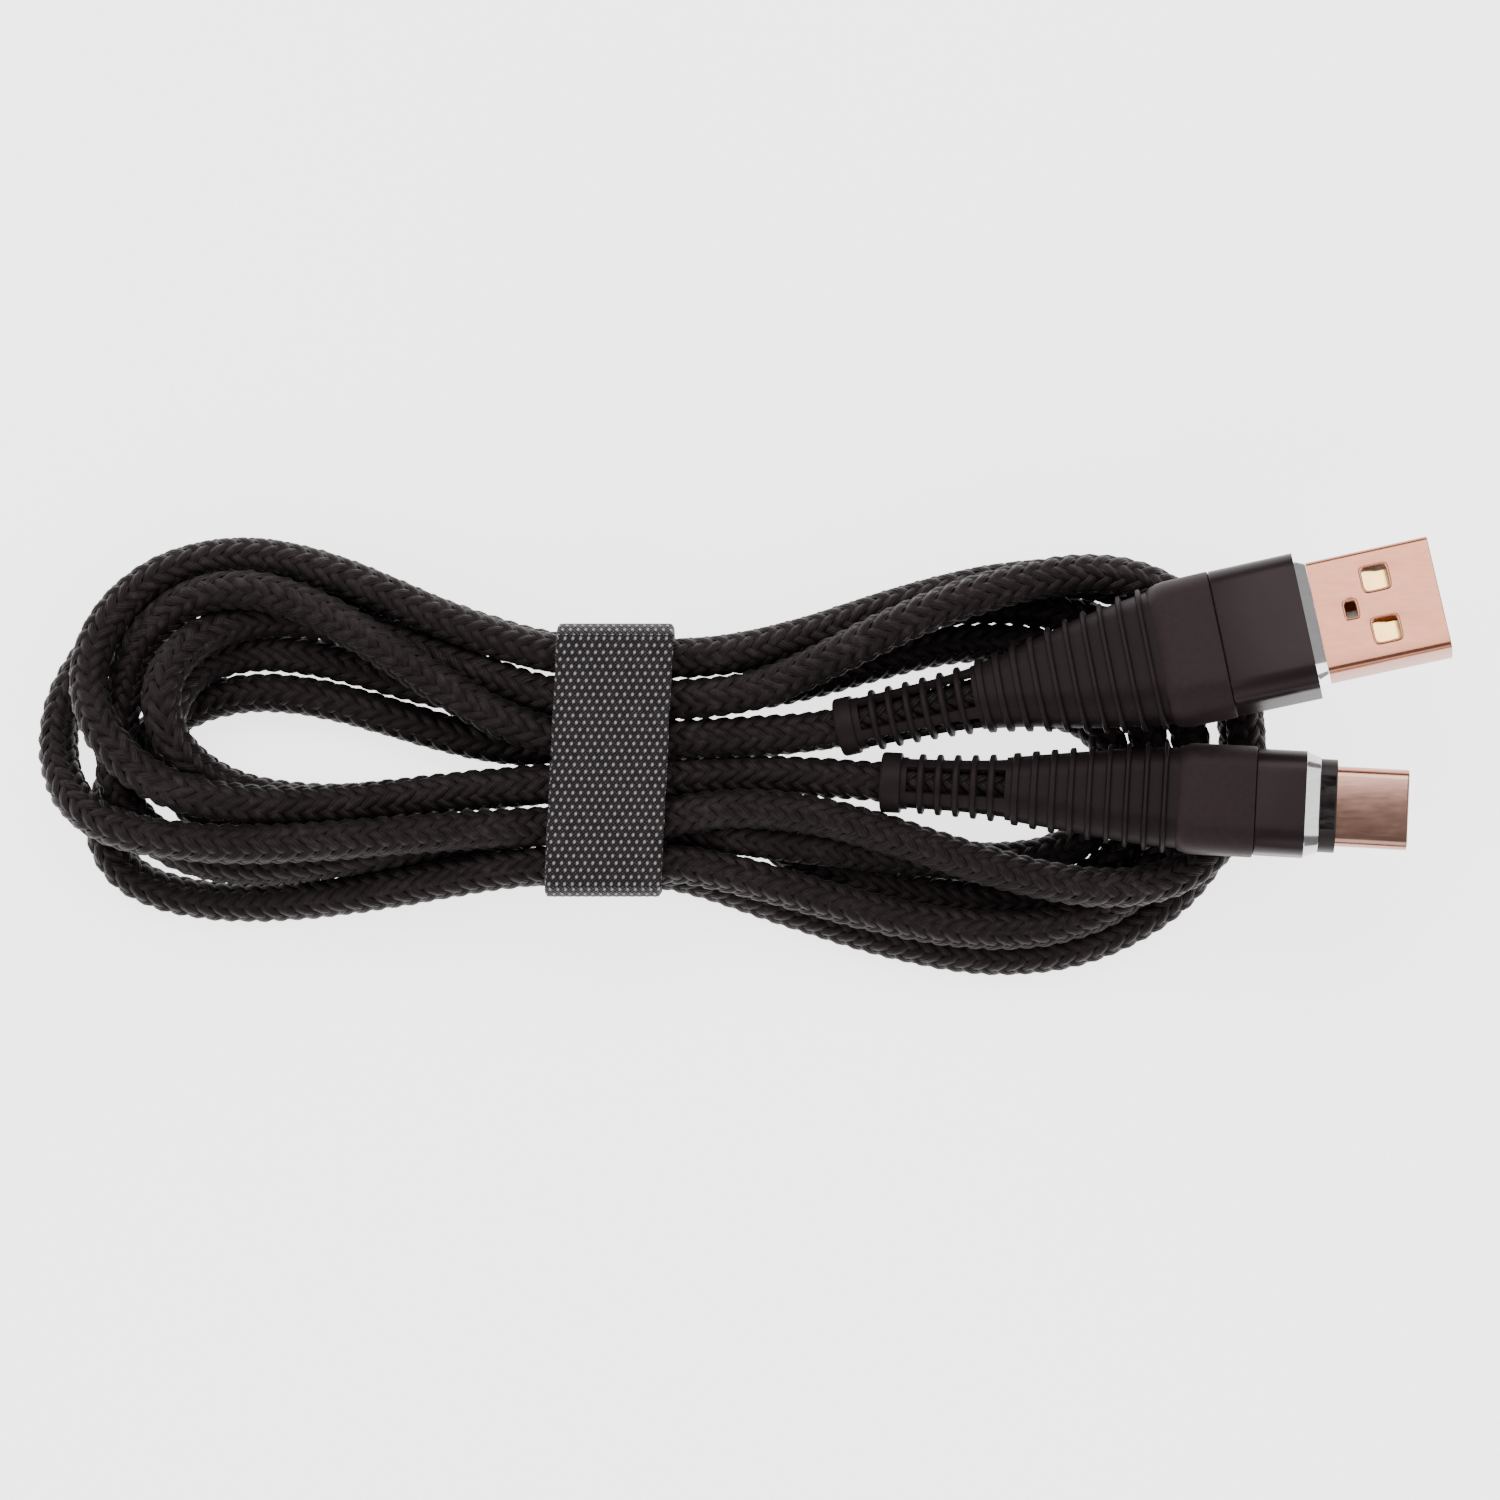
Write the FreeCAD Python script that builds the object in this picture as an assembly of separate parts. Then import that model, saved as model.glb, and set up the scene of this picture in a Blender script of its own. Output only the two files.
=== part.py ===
import FreeCAD, Part
import math, os, json

# Braided charging cable, folded into a hank and held by a hook-and-loop tie,
# with a USB-A plug at one end and a USB-C plug at the other. Millimetres, +Z up.
# Origin: centre of the bounding box in plan, at the surface the hank lies on.

# ---- driving dimensions -------------------------------------------------
CORD_D = 4.2
CORD_LENGTH = 1474.0            # whole braided cord between the two boots
SHIFT = FreeCAD.Vector(1.9800, 0.9432, 0.0)    # puts the box's centre at the origin

# plug placements: centre of the boot's tail ring, then yaw, pitch up and roll
A_TAIL, A_YAW, A_PITCH, A_ROLL = (9.25, 2.29, 7.6), 12.3, 10.0, -17.0
C_TAIL, C_YAW, C_PITCH, C_ROLL = (13.70, -3.32, 8.0), -3.0, 8.0, -10.0

# USB-A plug, lengths along its own axis from the boot's tail
A_BOOT, A_COLLAR, A_HOUSING, A_CHAMFER, A_SHELL = 34.6, 5.8, 8.6, 1.1, 12.3
A_SHELL_W, A_SHELL_H, A_SHELL_T = 12.0, 4.5, 0.3
A_HOUSING_W, A_HOUSING_H, A_HOUSING_R = 14.5, 7.9, 2.2
A_COLLAR_W, A_COLLAR_H, A_COLLAR_R = 14.9, 8.4, 3.2
# USB-C plug
C_BOOT, C_COLLAR, C_HOUSING, C_CHAMFER, C_NOSE, C_SHELL = 31.0, 7.3, 5.0, 1.4, 1.7, 7.2
C_SHELL_W, C_SHELL_H, C_SHELL_T = 8.25, 2.4, 0.2
C_HOUSING_W, C_HOUSING_H, C_HOUSING_R = 10.8, 6.0, 2.3
C_COLLAR_W, C_COLLAR_H, C_COLLAR_R = 11.3, 6.6, 2.8
# tie
TIE_X0, TIE_X1, TIE_Y0, TIE_Y1, TIE_Z1, TIE_T = -20.6, -8.6, -15.25, 13.15, 10.8, 1.05
TAIL_T = 1.0

V = FreeCAD.Vector
os.makedirs("parts", exist_ok=True)


def place(tail, yaw, pitch, roll):
    return FreeCAD.Placement(V(*tail) + SHIFT, FreeCAD.Rotation(yaw, -pitch, roll))


PA = place(A_TAIL, A_YAW, A_PITCH, A_ROLL)
PC = place(C_TAIL, C_YAW, C_PITCH, C_ROLL)
NODES = {}


def keep(name, shape, pl=None):
    s = shape.copy()
    if pl is not None:
        s.Placement = pl.multiply(s.Placement)
    else:
        s.translate(SHIFT)
    NODES[name] = s


def box(x0, x1, y0, y1, z0, z1):
    return Part.makeBox(x1 - x0, y1 - y0, z1 - z0, V(x0, y0, z0))


def rrect(x, w, h, r, zc=0.0):
    """Rounded rectangle wire across the plug's axis at x."""
    r = min(r, w / 2 - 0.02, h / 2 - 0.02)
    a, b, k = w / 2, h / 2, r * (1 - math.sqrt(0.5))
    p = lambda y, z: V(x, y, z + zc)
    e = []
    def arc(p0, pm, p1):
        e.append(Part.Arc(p0, pm, p1).toShape())
    def line(p0, p1):
        e.append(Part.LineSegment(p0, p1).toShape())
    line(p(-a + r, -b), p(a - r, -b))
    arc(p(a - r, -b), p(a - k, -b + k), p(a, -b + r))
    line(p(a, -b + r), p(a, b - r))
    arc(p(a, b - r), p(a - k, b - k), p(a - r, b))
    line(p(a - r, b), p(-a + r, b))
    arc(p(-a + r, b), p(-a + k, b - k), p(-a, b - r))
    line(p(-a, b - r), p(-a, -b + r))
    arc(p(-a, -b + r), p(-a + k, -b + k), p(-a + r, -b))
    return Part.Wire(e)


def prism(x0, x1, w, h, r, zc=0.0):
    return Part.Face(rrect(x0, w, h, r, zc)).extrude(V(x1 - x0, 0, 0))


def loft(secs):
    return Part.makeLoft([rrect(*s) for s in secs], True, True)


def cyl(x0, x1, r, y=0.0, z=0.0):
    return Part.makeCylinder(r, x1 - x0, V(x0, y, z), V(1, 0, 0))


def fuse(shapes):
    s = shapes[0]
    for t in shapes[1:]:
        s = s.fuse(t)
    return s.removeSplitter() if len(shapes) > 1 else s


def boot(length, tail_d, tail_l, win_x, win_l, win_w, ribs, secs):
    """Tapered sleeve with a ladder of windows near the tail and ribs up the flare."""
    core = loft(secs)

    def at(x):
        for s0, s1 in zip(secs, secs[1:]):
            if s0[0] <= x <= s1[0]:
                t = (x - s0[0]) / (s1[0] - s0[0])
                return [s0[i] + t * (s1[i] - s0[i]) for i in (1, 2, 3)]
        return list(secs[-1][1:4])
    parts = [core, prism(0, tail_l, tail_d, tail_d - 0.02, tail_d / 2)]
    for x, rib_l, proud in ribs:
        w, h, r = at(x + rib_l / 2)
        parts.append(prism(x, x + rib_l, w + 2 * proud, h + 2 * proud, r + proud))
    s = fuse(parts).cut(cyl(-1, length + 1, CORD_D / 2))
    for x in win_x:
        s = s.cut(box(x, x + win_l, -win_w / 2, win_w / 2, -6, 6))
        s = s.cut(box(x, x + win_l, -6, 6, -win_w / 2, win_w / 2))
    return s


# ================= USB-A plug ============================================
a0 = A_BOOT
a1 = a0 + A_COLLAR
a2 = a1 + A_HOUSING
a3 = a2 + A_CHAMFER
a4 = a3 + A_SHELL
a_secs = [(0.0, 5.3, 5.28, 2.6), (14.7, 6.6, 6.1, 2.9), (19.5, 8.2, 6.4, 3.0),
          (24.5, 10.6, 6.9, 3.2), (29.8, 12.7, 7.4, 3.3), (A_BOOT, 13.8, 7.8, 3.3)]
a_win = [2.6 + 1.83 * i for i in range(7)]
a_rib = [(15.2, 0.85, 0.42), (17.1, 0.8, 0.45), (19.0, 0.75, 0.5), (20.95, 0.7, 0.52), (22.9, 0.65, 0.56),
         (24.85, 0.62, 0.58), (26.8, 0.6, 0.6), (28.6, 0.6, 0.6), (30.6, 0.6, 0.6), (32.7, 0.6, 0.6)]
keep("usb_a_strain_relief",
     boot(A_BOOT, 6.1, 1.9, a_win, 1.15, 3.0, a_rib, a_secs), PA)
a_stub = cyl(0, a0 + 2.6, CORD_D / 2)
keep("usb_a_cable_end", a_stub, PA)
collar = prism(a0, a1, A_COLLAR_W, A_COLLAR_H, A_COLLAR_R)
collar = collar.cut(prism(a0 + 1.0, a1 + 1, A_COLLAR_W - 1.8, A_COLLAR_H - 1.8, A_COLLAR_R - 0.9))
collar = collar.cut(cyl(a0 - 1, a0 + 2, 2.65))
keep("usb_a_collar", collar, PA)
hous = fuse([prism(a1, a2, A_HOUSING_W, A_HOUSING_H, A_HOUSING_R),
             loft([(a2, A_HOUSING_W, A_HOUSING_H, A_HOUSING_R),
                   (a3, A_HOUSING_W - 1.3, A_HOUSING_H - 1.3, A_HOUSING_R - 0.6)])])
hous = hous.cut(prism(a1 - 1, a3 - 0.9, A_HOUSING_W - 1.6, A_HOUSING_H - 1.6, A_HOUSING_R - 0.8))
hous = hous.cut(prism(a3 - 2, a3 + 1, A_SHELL_W, A_SHELL_H, 0.6))
keep("usb_a_housing", hous, PA)
sx0 = a2 - 3.6
shell = prism(sx0, a4, A_SHELL_W, A_SHELL_H, 0.6)
shell = shell.cut(prism(sx0 - 1, a4 + 1, A_SHELL_W - 2 * A_SHELL_T, A_SHELL_H - 2 * A_SHELL_T, 0.35))
for y in (-2.75, 2.75):
    shell = shell.cut(box(a4 - 7.1, a4 - 4.6, y - 1.25, y + 1.25, -4, 4))
shell = shell.cut(box(a3 + 2.9, a3 + 4.0, -0.85, 0.85, 1, 4))
keep("usb_a_shell", shell, PA)
iw, ih = A_SHELL_W - 2 * A_SHELL_T - 0.1, A_SHELL_H - 2 * A_SHELL_T - 0.1
ins = fuse([box(sx0 + 0.2, a3 + 1.2, -iw / 2, iw / 2, -ih / 2, ih / 2),
            box(a3 + 1.2, a4 - 0.9, -iw / 2, iw / 2, -ih / 2, -ih / 2 + 1.85)])
zt = -ih / 2 + 1.85
pads = {"power": ((-3.5, 0.6), (3.5, 0.6)), "data": ((-1.0, 1.6), (1.0, 1.6))}
contacts = {}
for k, lst in pads.items():
    solids = []
    for y, back in lst:
        pad = box(sx0 - 1.6, a4 - 1.2 - back, y - 0.5, y + 0.5, zt - 0.25, zt)
        solids.append(pad)
        ins = ins.cut(box(sx0 - 2, a4 - 1.2 - back, y - 0.5, y + 0.5, zt - 0.25, zt))
        ins = ins.cut(box(a3 + 1.2, a4 - 1.2 - back, y - 0.5, y + 0.5, zt - 0.01, zt + 0.01))
    contacts[k] = solids
ins = ins.common(prism(sx0, a4, iw, ih, 0.42))
keep("usb_a_insulator", ins, PA)
keep("usb_a_power_contacts", Part.makeCompound(contacts["power"]), PA)
keep("usb_a_data_contacts", Part.makeCompound(contacts["data"]), PA)
a_crimp = cyl(a0 + 1.1, a0 + 2.6, 2.62).cut(cyl(a0, a0 + 4, CORD_D / 2))
keep("usb_a_crimp", a_crimp, PA)
wires = [cyl(a0 + 2.62, sx0 - 1.62, 0.42, y=yy, z=zt - 0.12) for yy in (-1.5, -0.5, 0.5, 1.5)]
keep("usb_a_wires", Part.makeCompound(wires), PA)
mould = prism(a0 + 3.8, sx0 - 0.02, A_HOUSING_W - 2.0, A_HOUSING_H - 2.2, 1.4)
mould = mould.cut(box(a0 + 2.6, sx0 + 1, -4.1, 4.1, zt - 0.56, zt + 0.32))
keep("usb_a_inner_mould", mould, PA)

# ================= USB-C plug ============================================
c0 = C_BOOT
c1 = c0 + C_COLLAR
c2 = c1 + C_HOUSING
c3 = c2 + C_CHAMFER
c4 = c3 + C_NOSE
c5 = c4 + C_SHELL
c_secs = [(0.0, 5.3, 5.28, 2.6), (11.6, 6.2, 5.5, 2.7), (16.0, 7.3, 5.6, 2.7),
          (21.0, 8.6, 5.7, 2.8), (26.0, 9.8, 5.9, 2.8), (C_BOOT, 10.4, 6.0, 2.8)]
c_win = [2.7 + 1.82 * i for i in range(6)]
c_rib = [(13.5 + 1.92 * i, (0.8, 0.8, 0.75, 0.7, 0.62, 0.58, 0.55, 0.55, 0.55)[i], 0.38 + 0.03 * i) for i in range(9)]
keep("usb_c_strain_relief",
     boot(C_BOOT, 6.3, 2.1, c_win, 1.1, 2.8, c_rib, c_secs), PC)
keep("usb_c_cable_end", cyl(0, 33.4, CORD_D / 2), PC)
ccol = prism(c0, c1, C_COLLAR_W, C_COLLAR_H, C_COLLAR_R)
ccol = ccol.cut(prism(c0 + 0.9, c1 + 1, C_COLLAR_W - 1.6, C_COLLAR_H - 1.4, C_COLLAR_R - 0.7))
ccol = ccol.cut(cyl(c0 - 1, c0 + 2, 2.5))
keep("usb_c_collar", ccol, PC)
ch = fuse([prism(c1, c2, C_HOUSING_W, C_HOUSING_H, C_HOUSING_R),
           loft([(c2, C_HOUSING_W, C_HOUSING_H, C_HOUSING_R),
                 (c3, C_HOUSING_W - 1.2, C_HOUSING_H - 1.2, C_HOUSING_R - 0.6)])])
ch = ch.cut(prism(c1 - 1, c3 + 1, 9.0, 4.2, 1.7))
keep("usb_c_housing", ch, PC)
nose = prism(c1 + 0.6, c4, 8.98, 4.18, 1.69)
nose = fuse([nose, prism(c3 + 0.02, c4, 9.5, 4.4, 1.9)])
nose = nose.cut(prism(c1 - 1, c4 + 1, C_SHELL_W, C_SHELL_H, C_SHELL_H / 2))
keep("usb_c_inner_mould", nose, PC)
cs0 = c1 + 1.2
csh = prism(cs0, c5, C_SHELL_W, C_SHELL_H, C_SHELL_H / 2)
csh = csh.cut(prism(cs0 - 1, c5 + 1, C_SHELL_W - 2 * C_SHELL_T, C_SHELL_H - 2 * C_SHELL_T, C_SHELL_H / 2 - C_SHELL_T))
keep("usb_c_shell", csh, PC)
bw, bh = C_SHELL_W - 2 * C_SHELL_T - 0.06, C_SHELL_H - 2 * C_SHELL_T - 0.06
cin = prism(cs0 + 0.1, c5 - 0.5, bw, bh, bh / 2)
cin = cin.cut(box(c4 + 0.6, c5 + 1, -3.35, 3.35, -0.45, 0.45))
up, lo = [], []
for i, pos in enumerate(range(12)):
    y = -2.75 + 0.5 * pos
    if pos in (0, 3, 4, 5, 6, 8, 11):
        b = box(cs0 - 0.8, c5 - 1.3, y - 0.13, y + 0.13, 0.45, 0.62)
        up.append(b)
        cin = cin.cut(b)
    if pos in (0, 3, 8, 11):
        b = box(cs0 - 0.8, c5 - 1.3, y - 0.13, y + 0.13, -0.62, -0.45)
        lo.append(b)
        cin = cin.cut(b)
keep("usb_c_contacts_upper", Part.makeCompound(up), PC)
keep("usb_c_contacts_lower", Part.makeCompound(lo), PC)
latch = []
for sgn in (-1, 1):
    y0, y1 = sorted((sgn * 3.32, sgn * 3.12))
    b = box(c4 + 1.2, c5 - 0.9, y0, y1, -0.35, 0.35)
    latch.append(b)
keep("usb_c_latch_springs", Part.makeCompound(latch), PC)
keep("usb_c_insulator", cin, PC)
pcb = box(34.3, cs0 - 0.82, -3.6, 3.6, -0.4, 0.4)
keep("usb_c_circuit_board", pcb, PC)
keep("usb_c_pull_up_resistor", box(36.2, 37.2, 1.6, 2.1, 0.4, 0.75), PC)
keep("usb_c_crimp", cyl(c0 + 0.95, c0 + 2.2, 2.48).cut(cyl(c0, c0 + 4, CORD_D / 2)), PC)
keep("usb_c_wires", Part.makeCompound(
    [cyl(33.42, 35.6, 0.36, y=y, z=0.77) for y in (-1.3, -0.45, 0.45, 1.3)]), PC)
rs = prism(35.9, c1 + 0.5, 8.6, 4.1, 1.6).cut(prism(35, c1 + 1, 8.1, 3.6, 1.4))
keep("usb_c_rear_shell", rs, PC)

# ================= cord ==================================================


def tube(points, d, name):
    """Straight runs joined by tangent arcs, swept with a round section."""
    P = [V(*p) for p in points]
    edges, cur, length = [], P[0], 0.0
    for i in range(1, len(P) - 1):
        a = (P[i - 1] - P[i]); b = (P[i + 1] - P[i])
        la, lb = a.Length, b.Length
        a.normalize(); b.normalize()
        turn = math.pi - a.getAngle(b)
        t = 0.45 * min(la, lb)
        r = t / math.tan(turn / 2)
        print("%s point %d radius %.1f" % (name, i, r))
        p0, p1 = P[i] + a * t, P[i] + b * t
        bis = (a + b); bis.normalize()
        c = P[i] + bis * (r / math.cos(turn / 2))
        mid = c - bis * r
        edges.append(Part.LineSegment(cur, p0).toShape()); length += (p0 - cur).Length
        edges.append(Part.Arc(p0, mid, p1).toShape()); length += r * turn
        cur = p1
    edges.append(Part.LineSegment(cur, P[-1]).toShape()); length += (P[-1] - cur).Length
    path = Part.Wire(edges)
    d0 = P[1] - P[0]
    prof = Part.Wire([Part.makeCircle(d / 2, P[0], d0)])
    s = path.makePipeShell([prof], True, True)
    print("%s length %.2f volume ratio %.4f" % (name, length, s.Volume / (math.pi * d * d / 4 * length)))
    return s


def along(tail, yaw, pitch, dist):
    y, p = math.radians(yaw), math.radians(pitch)
    return (tail[0] + dist * math.cos(y) * math.cos(p), tail[1] + dist * math.sin(y) * math.cos(p),
            tail[2] + dist * math.sin(p))


A_ROUTE = [(-8.44, 1.20, 7.40), (-3.0, 1.24, 7.36), (2.8, 1.50, 7.16), along(A_TAIL, A_YAW, A_PITCH, -0.02)]
C_ROUTE = [(-8.44, -3.16, 7.40), (-1.2, -3.04, 7.44), (6.2, -3.12, 7.42), along(C_TAIL, C_YAW, C_PITCH, -0.02)]
keep("cord_a_lead", tube(A_ROUTE, CORD_D, "cord_a_lead"))
keep("cord_c_lead", tube(C_ROUTE, CORD_D, "cord_c_lead"))

K = 0.1048                       # outlines below were drawn on a grid of this pitch


def outline(pts, z0, z1):
    w = [V((x - 750) * K, -(y - 750) * K, z0) for x, y in pts]
    return Part.Face(Part.makePolygon(w + [w[0]])).extrude(V(0, 0, z1 - z0))


left = outline([(545, 640), (500, 620), (441, 598), (391, 575), (343, 556), (296, 546), (250, 542), (205, 545),
                (150, 562), (105, 592), (70, 632), (47, 680), (38, 730), (42, 770), (60, 810), (80, 845),
                (95, 872), (120, 895), (160, 914), (250, 924), (350, 915), (450, 897), (545, 886)], 0, 10.4)
left = left.cut(outline([(197, 725), (250, 712), (300, 712), (350, 722), (400, 738), (450, 755), (490, 768),
                         (400, 778), (300, 786), (240, 783), (214, 765)], -1, 30))
right = outline([(674, 648), (757, 628), (858, 598), (955, 570), (1040, 558), (1120, 557), (1180, 580),
                 (1230, 627), (1260, 690), (1262, 740), (1253, 800), (1235, 850), (1205, 890), (1140, 928),
                 (1095, 955), (1000, 976), (905, 960), (805, 932), (705, 901), (674, 890)], 0, 8.4)
right = right.cut(outline([(880, 750), (1020, 742), (1060, 757), (1066, 785), (1045, 826), (900, 828),
                           (880, 800)], -1, 30))
core = prism((540 - 750) * K, (680 - 750) * K, 25.6, 8.3, 1.2, 5.4)
core.translate(V(0, -1.05, 0))
hank = left.fuse(core).fuse(right)


def clear(pl, x0, x1, hw, hh):
    b = box(x0, x1, -hw, hw, -hh, 22)
    b.Placement = pl
    return b


NA = FreeCAD.Placement(V(*A_TAIL), FreeCAD.Rotation(A_YAW, -A_PITCH, 0))
NC = FreeCAD.Placement(V(*C_TAIL), FreeCAD.Rotation(C_YAW, -C_PITCH, 0))
for pl, w0, h0, w1, h1, n in ((NA, 3.3, 3.2, 8.4, 6.6, A_BOOT), (NC, 3.3, 3.3, 6.4, 4.6, C_BOOT)):
    hank = hank.cut(clear(pl, -1.0, 13.0, w0 + 0.6, h0))
    hank = hank.cut(clear(pl, 13.0, 22.0, (w0 + w1) / 2 + 0.3, (h0 + h1) / 2))
    hank = hank.cut(clear(pl, 22.0, 62.0, w1, h1))
hank = hank.cut(box(-8.44, 14.5, -5.7, 6.4, 4.9, 30))
solids = sorted(hank.Solids, key=lambda s: -s.Volume)
print("hank solids", [round(s.Volume, 1) for s in solids])
keep("cord_hank", solids[0])

# ================= tie ===================================================
band = box(TIE_X0, TIE_X1, TIE_Y0, TIE_Y1, 0, TIE_Z1)
band = band.makeFillet(1.6, [e for e in band.Edges if abs(e.tangentAt(e.FirstParameter).x) > 0.9])
inner = box(TIE_X0 - 1, TIE_X1 + 1, TIE_Y0 + TIE_T, TIE_Y1 - TIE_T, TIE_T, TIE_Z1 - TIE_T)
inner = inner.makeFillet(0.7, [e for e in inner.Edges if abs(e.tangentAt(e.FirstParameter).x) > 0.9])
keep("tie_band", band.cut(inner))
keep("tie_tail", box(TIE_X0 + 0.1, TIE_X1 + 0.1, TIE_Y0 + 1.2, TIE_Y1 - 1.4, TIE_Z1 + 0.05, TIE_Z1 + 0.05 + TAIL_T))

# ---- write --------------------------------------------------------------
bb = None
for name, s in NODES.items():
    if not s.isValid():
        print("INVALID", name)
    s.exportStep("parts/%s.step" % name)
    b = s.BoundBox
    bb = b if bb is None else bb.united(b)
    print("%-24s solids %d vol %9.2f  z %.2f..%.2f" % (name, len(s.Solids), s.Volume, b.ZMin, b.ZMax))
print("box", bb, "centre", bb.Center)
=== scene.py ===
import bpy, math
import numpy as np
from mathutils import Vector, Matrix

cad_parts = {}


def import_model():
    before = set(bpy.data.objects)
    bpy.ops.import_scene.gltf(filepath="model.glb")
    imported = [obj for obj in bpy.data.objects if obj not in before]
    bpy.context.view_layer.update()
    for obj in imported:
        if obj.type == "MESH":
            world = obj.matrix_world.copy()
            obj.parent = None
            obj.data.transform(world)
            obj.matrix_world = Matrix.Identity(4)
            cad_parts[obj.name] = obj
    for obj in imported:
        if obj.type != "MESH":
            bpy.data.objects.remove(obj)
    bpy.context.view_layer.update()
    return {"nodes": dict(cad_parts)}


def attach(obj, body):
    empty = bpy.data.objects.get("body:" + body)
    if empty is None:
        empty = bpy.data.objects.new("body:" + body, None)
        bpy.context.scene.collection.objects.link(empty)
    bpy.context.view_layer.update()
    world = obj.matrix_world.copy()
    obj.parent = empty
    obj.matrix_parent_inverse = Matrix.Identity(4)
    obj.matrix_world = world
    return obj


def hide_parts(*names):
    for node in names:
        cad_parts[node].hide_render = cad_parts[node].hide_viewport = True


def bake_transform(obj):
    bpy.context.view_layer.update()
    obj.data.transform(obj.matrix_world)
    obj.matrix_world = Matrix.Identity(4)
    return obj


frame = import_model()
MM = 0.001
SHIFT = np.array((1.9800, 0.9432, 0.0))

# ---------------------------------------------------------------- camera
H, F = 331.0, 3111.0                      # height in mm and focal length in image units
cam_data = bpy.data.cameras.new("camera")
cam = bpy.data.objects.new("camera", cam_data)
bpy.context.scene.collection.objects.link(cam)
cam.location = (SHIFT[0] * MM, SHIFT[1] * MM, H * MM)
cam_data.sensor_width = 36.0
cam_data.lens = F / 1500 * 36.0
cam_data.clip_start = 0.01
bpy.context.scene.camera = cam


# ---------------------------------------------------------------- helpers
def mesh_obj(name, verts, faces, mats, smooth=True, uvs=None, sharp=None, face_mat=None):
    me = bpy.data.meshes.new(name)
    me.from_pydata([tuple(v) for v in verts], [], faces)
    for m in mats:
        me.materials.append(m)
    if smooth:
        me.polygons.foreach_set("use_smooth", [True] * len(me.polygons))
    if face_mat is not None:
        me.polygons.foreach_set("material_index", face_mat)
    if uvs is not None:
        lay = me.uv_layers.new(name="uv")
        idx = np.empty(len(me.loops), dtype=np.int32)
        me.loops.foreach_get("vertex_index", idx)
        lay.data.foreach_set("uv", np.asarray(uvs, dtype=np.float32)[idx].ravel())
    me.update()
    if sharp is not None:
        me.set_sharp_from_angle(angle=math.radians(sharp))
    ob = bpy.data.objects.new(name, me)
    bpy.context.scene.collection.objects.link(ob)
    return ob


def grid_mesh(name, P, mats, uvs=None, close_u=False):
    """P: rows x cols x 3."""
    n, m = P.shape[:2]
    verts = P.reshape(-1, 3)
    i = np.arange(n - 1)[:, None]; j = np.arange(m if close_u else m - 1)[None, :]
    a = i * m + j; b = i * m + (j + 1) % m
    f = np.stack([a, b, b + m, a + m], -1).reshape(-1, 4)
    me = bpy.data.meshes.new(name)
    me.vertices.add(len(verts)); me.vertices.foreach_set("co", verts.astype(np.float32).ravel())
    me.loops.add(f.size); me.loops.foreach_set("vertex_index", f.astype(np.int32).ravel())
    me.polygons.add(len(f))
    me.polygons.foreach_set("loop_start", np.arange(0, f.size, 4, dtype=np.int32))
    me.polygons.foreach_set("loop_total", np.full(len(f), 4, dtype=np.int32))
    me.polygons.foreach_set("use_smooth", np.ones(len(f), dtype=bool))
    for mt in mats:
        me.materials.append(mt)
    if uvs is not None:
        lay = me.uv_layers.new(name="uv")
        lay.data.foreach_set("uv", uvs.reshape(-1, 2)[f.ravel()].astype(np.float32).ravel())
    me.update(calc_edges=True); me.validate()
    ob = bpy.data.objects.new(name, me)
    bpy.context.scene.collection.objects.link(ob)
    return ob


class Nodes:
    """A small helper for procedural materials."""

    def __init__(self, name, color, rough, metal=0.0, **kw):
        self.mat = bpy.data.materials.new(name)
        self.mat.use_nodes = True
        self.t = self.mat.node_tree
        self.b = self.t.nodes["Principled BSDF"]
        self.b.inputs["Base Color"].default_value = (*color, 1)
        self.b.inputs["Roughness"].default_value = rough
        self.b.inputs["Metallic"].default_value = metal
        for k, v in kw.items():
            self.b.inputs[k].default_value = v

    def n(self, kind, **kw):
        nd = self.t.nodes.new(kind)
        for k, v in kw.items():
            if isinstance(v, (int, float, tuple)) and k in [s.name for s in nd.inputs]:
                nd.inputs[k].default_value = v
            else:
                setattr(nd, k, v)
        return nd

    def link(self, a, b):
        self.t.links.new(a, b)

    def coords(self, uv=False):
        return self.n("ShaderNodeTexCoord").outputs["UV" if uv else "Object"]

    def noise(self, scale, detail=3.0, uv=False, rough=0.55, vec=None):
        nd = self.n("ShaderNodeTexNoise")
        nd.inputs["Scale"].default_value = scale
        nd.inputs["Detail"].default_value = detail
        nd.inputs["Roughness"].default_value = rough
        self.link(vec if vec is not None else self.coords(uv), nd.inputs["Vector"])
        return nd.outputs["Fac"]

    def ramp(self, fac, stops):
        nd = self.n("ShaderNodeValToRGB")
        el = nd.color_ramp.elements
        while len(el) < len(stops):
            el.new(0.5)
        for e, (p, c) in zip(el, stops):
            e.position = p
            e.color = (*c, 1) if len(c) == 3 else c
        self.link(fac, nd.inputs["Fac"])
        return nd.outputs["Color"]

    def math(self, op, a, b=None, c=None):
        nd = self.n("ShaderNodeMath"); nd.operation = op
        for k, v in enumerate((a, b, c)):
            if v is None:
                continue
            if isinstance(v, (int, float)):
                nd.inputs[k].default_value = v
            else:
                self.link(v, nd.inputs[k])
        return nd.outputs[0]

    def bump(self, height, dist, strength=1.0):
        nd = self.n("ShaderNodeBump")
        nd.inputs["Distance"].default_value = dist
        nd.inputs["Strength"].default_value = strength
        self.link(height, nd.inputs["Height"])
        self.link(nd.outputs["Normal"], self.b.inputs["Normal"])

    def color(self, c):
        self.link(c, self.b.inputs["Base Color"])

    def rough(self, fac, lo, hi):
        nd = self.n("ShaderNodeMapRange")
        nd.inputs["To Min"].default_value = lo
        nd.inputs["To Max"].default_value = hi
        self.link(fac, nd.inputs["Value"])
        self.link(nd.outputs["Result"], self.b.inputs["Roughness"])


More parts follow.
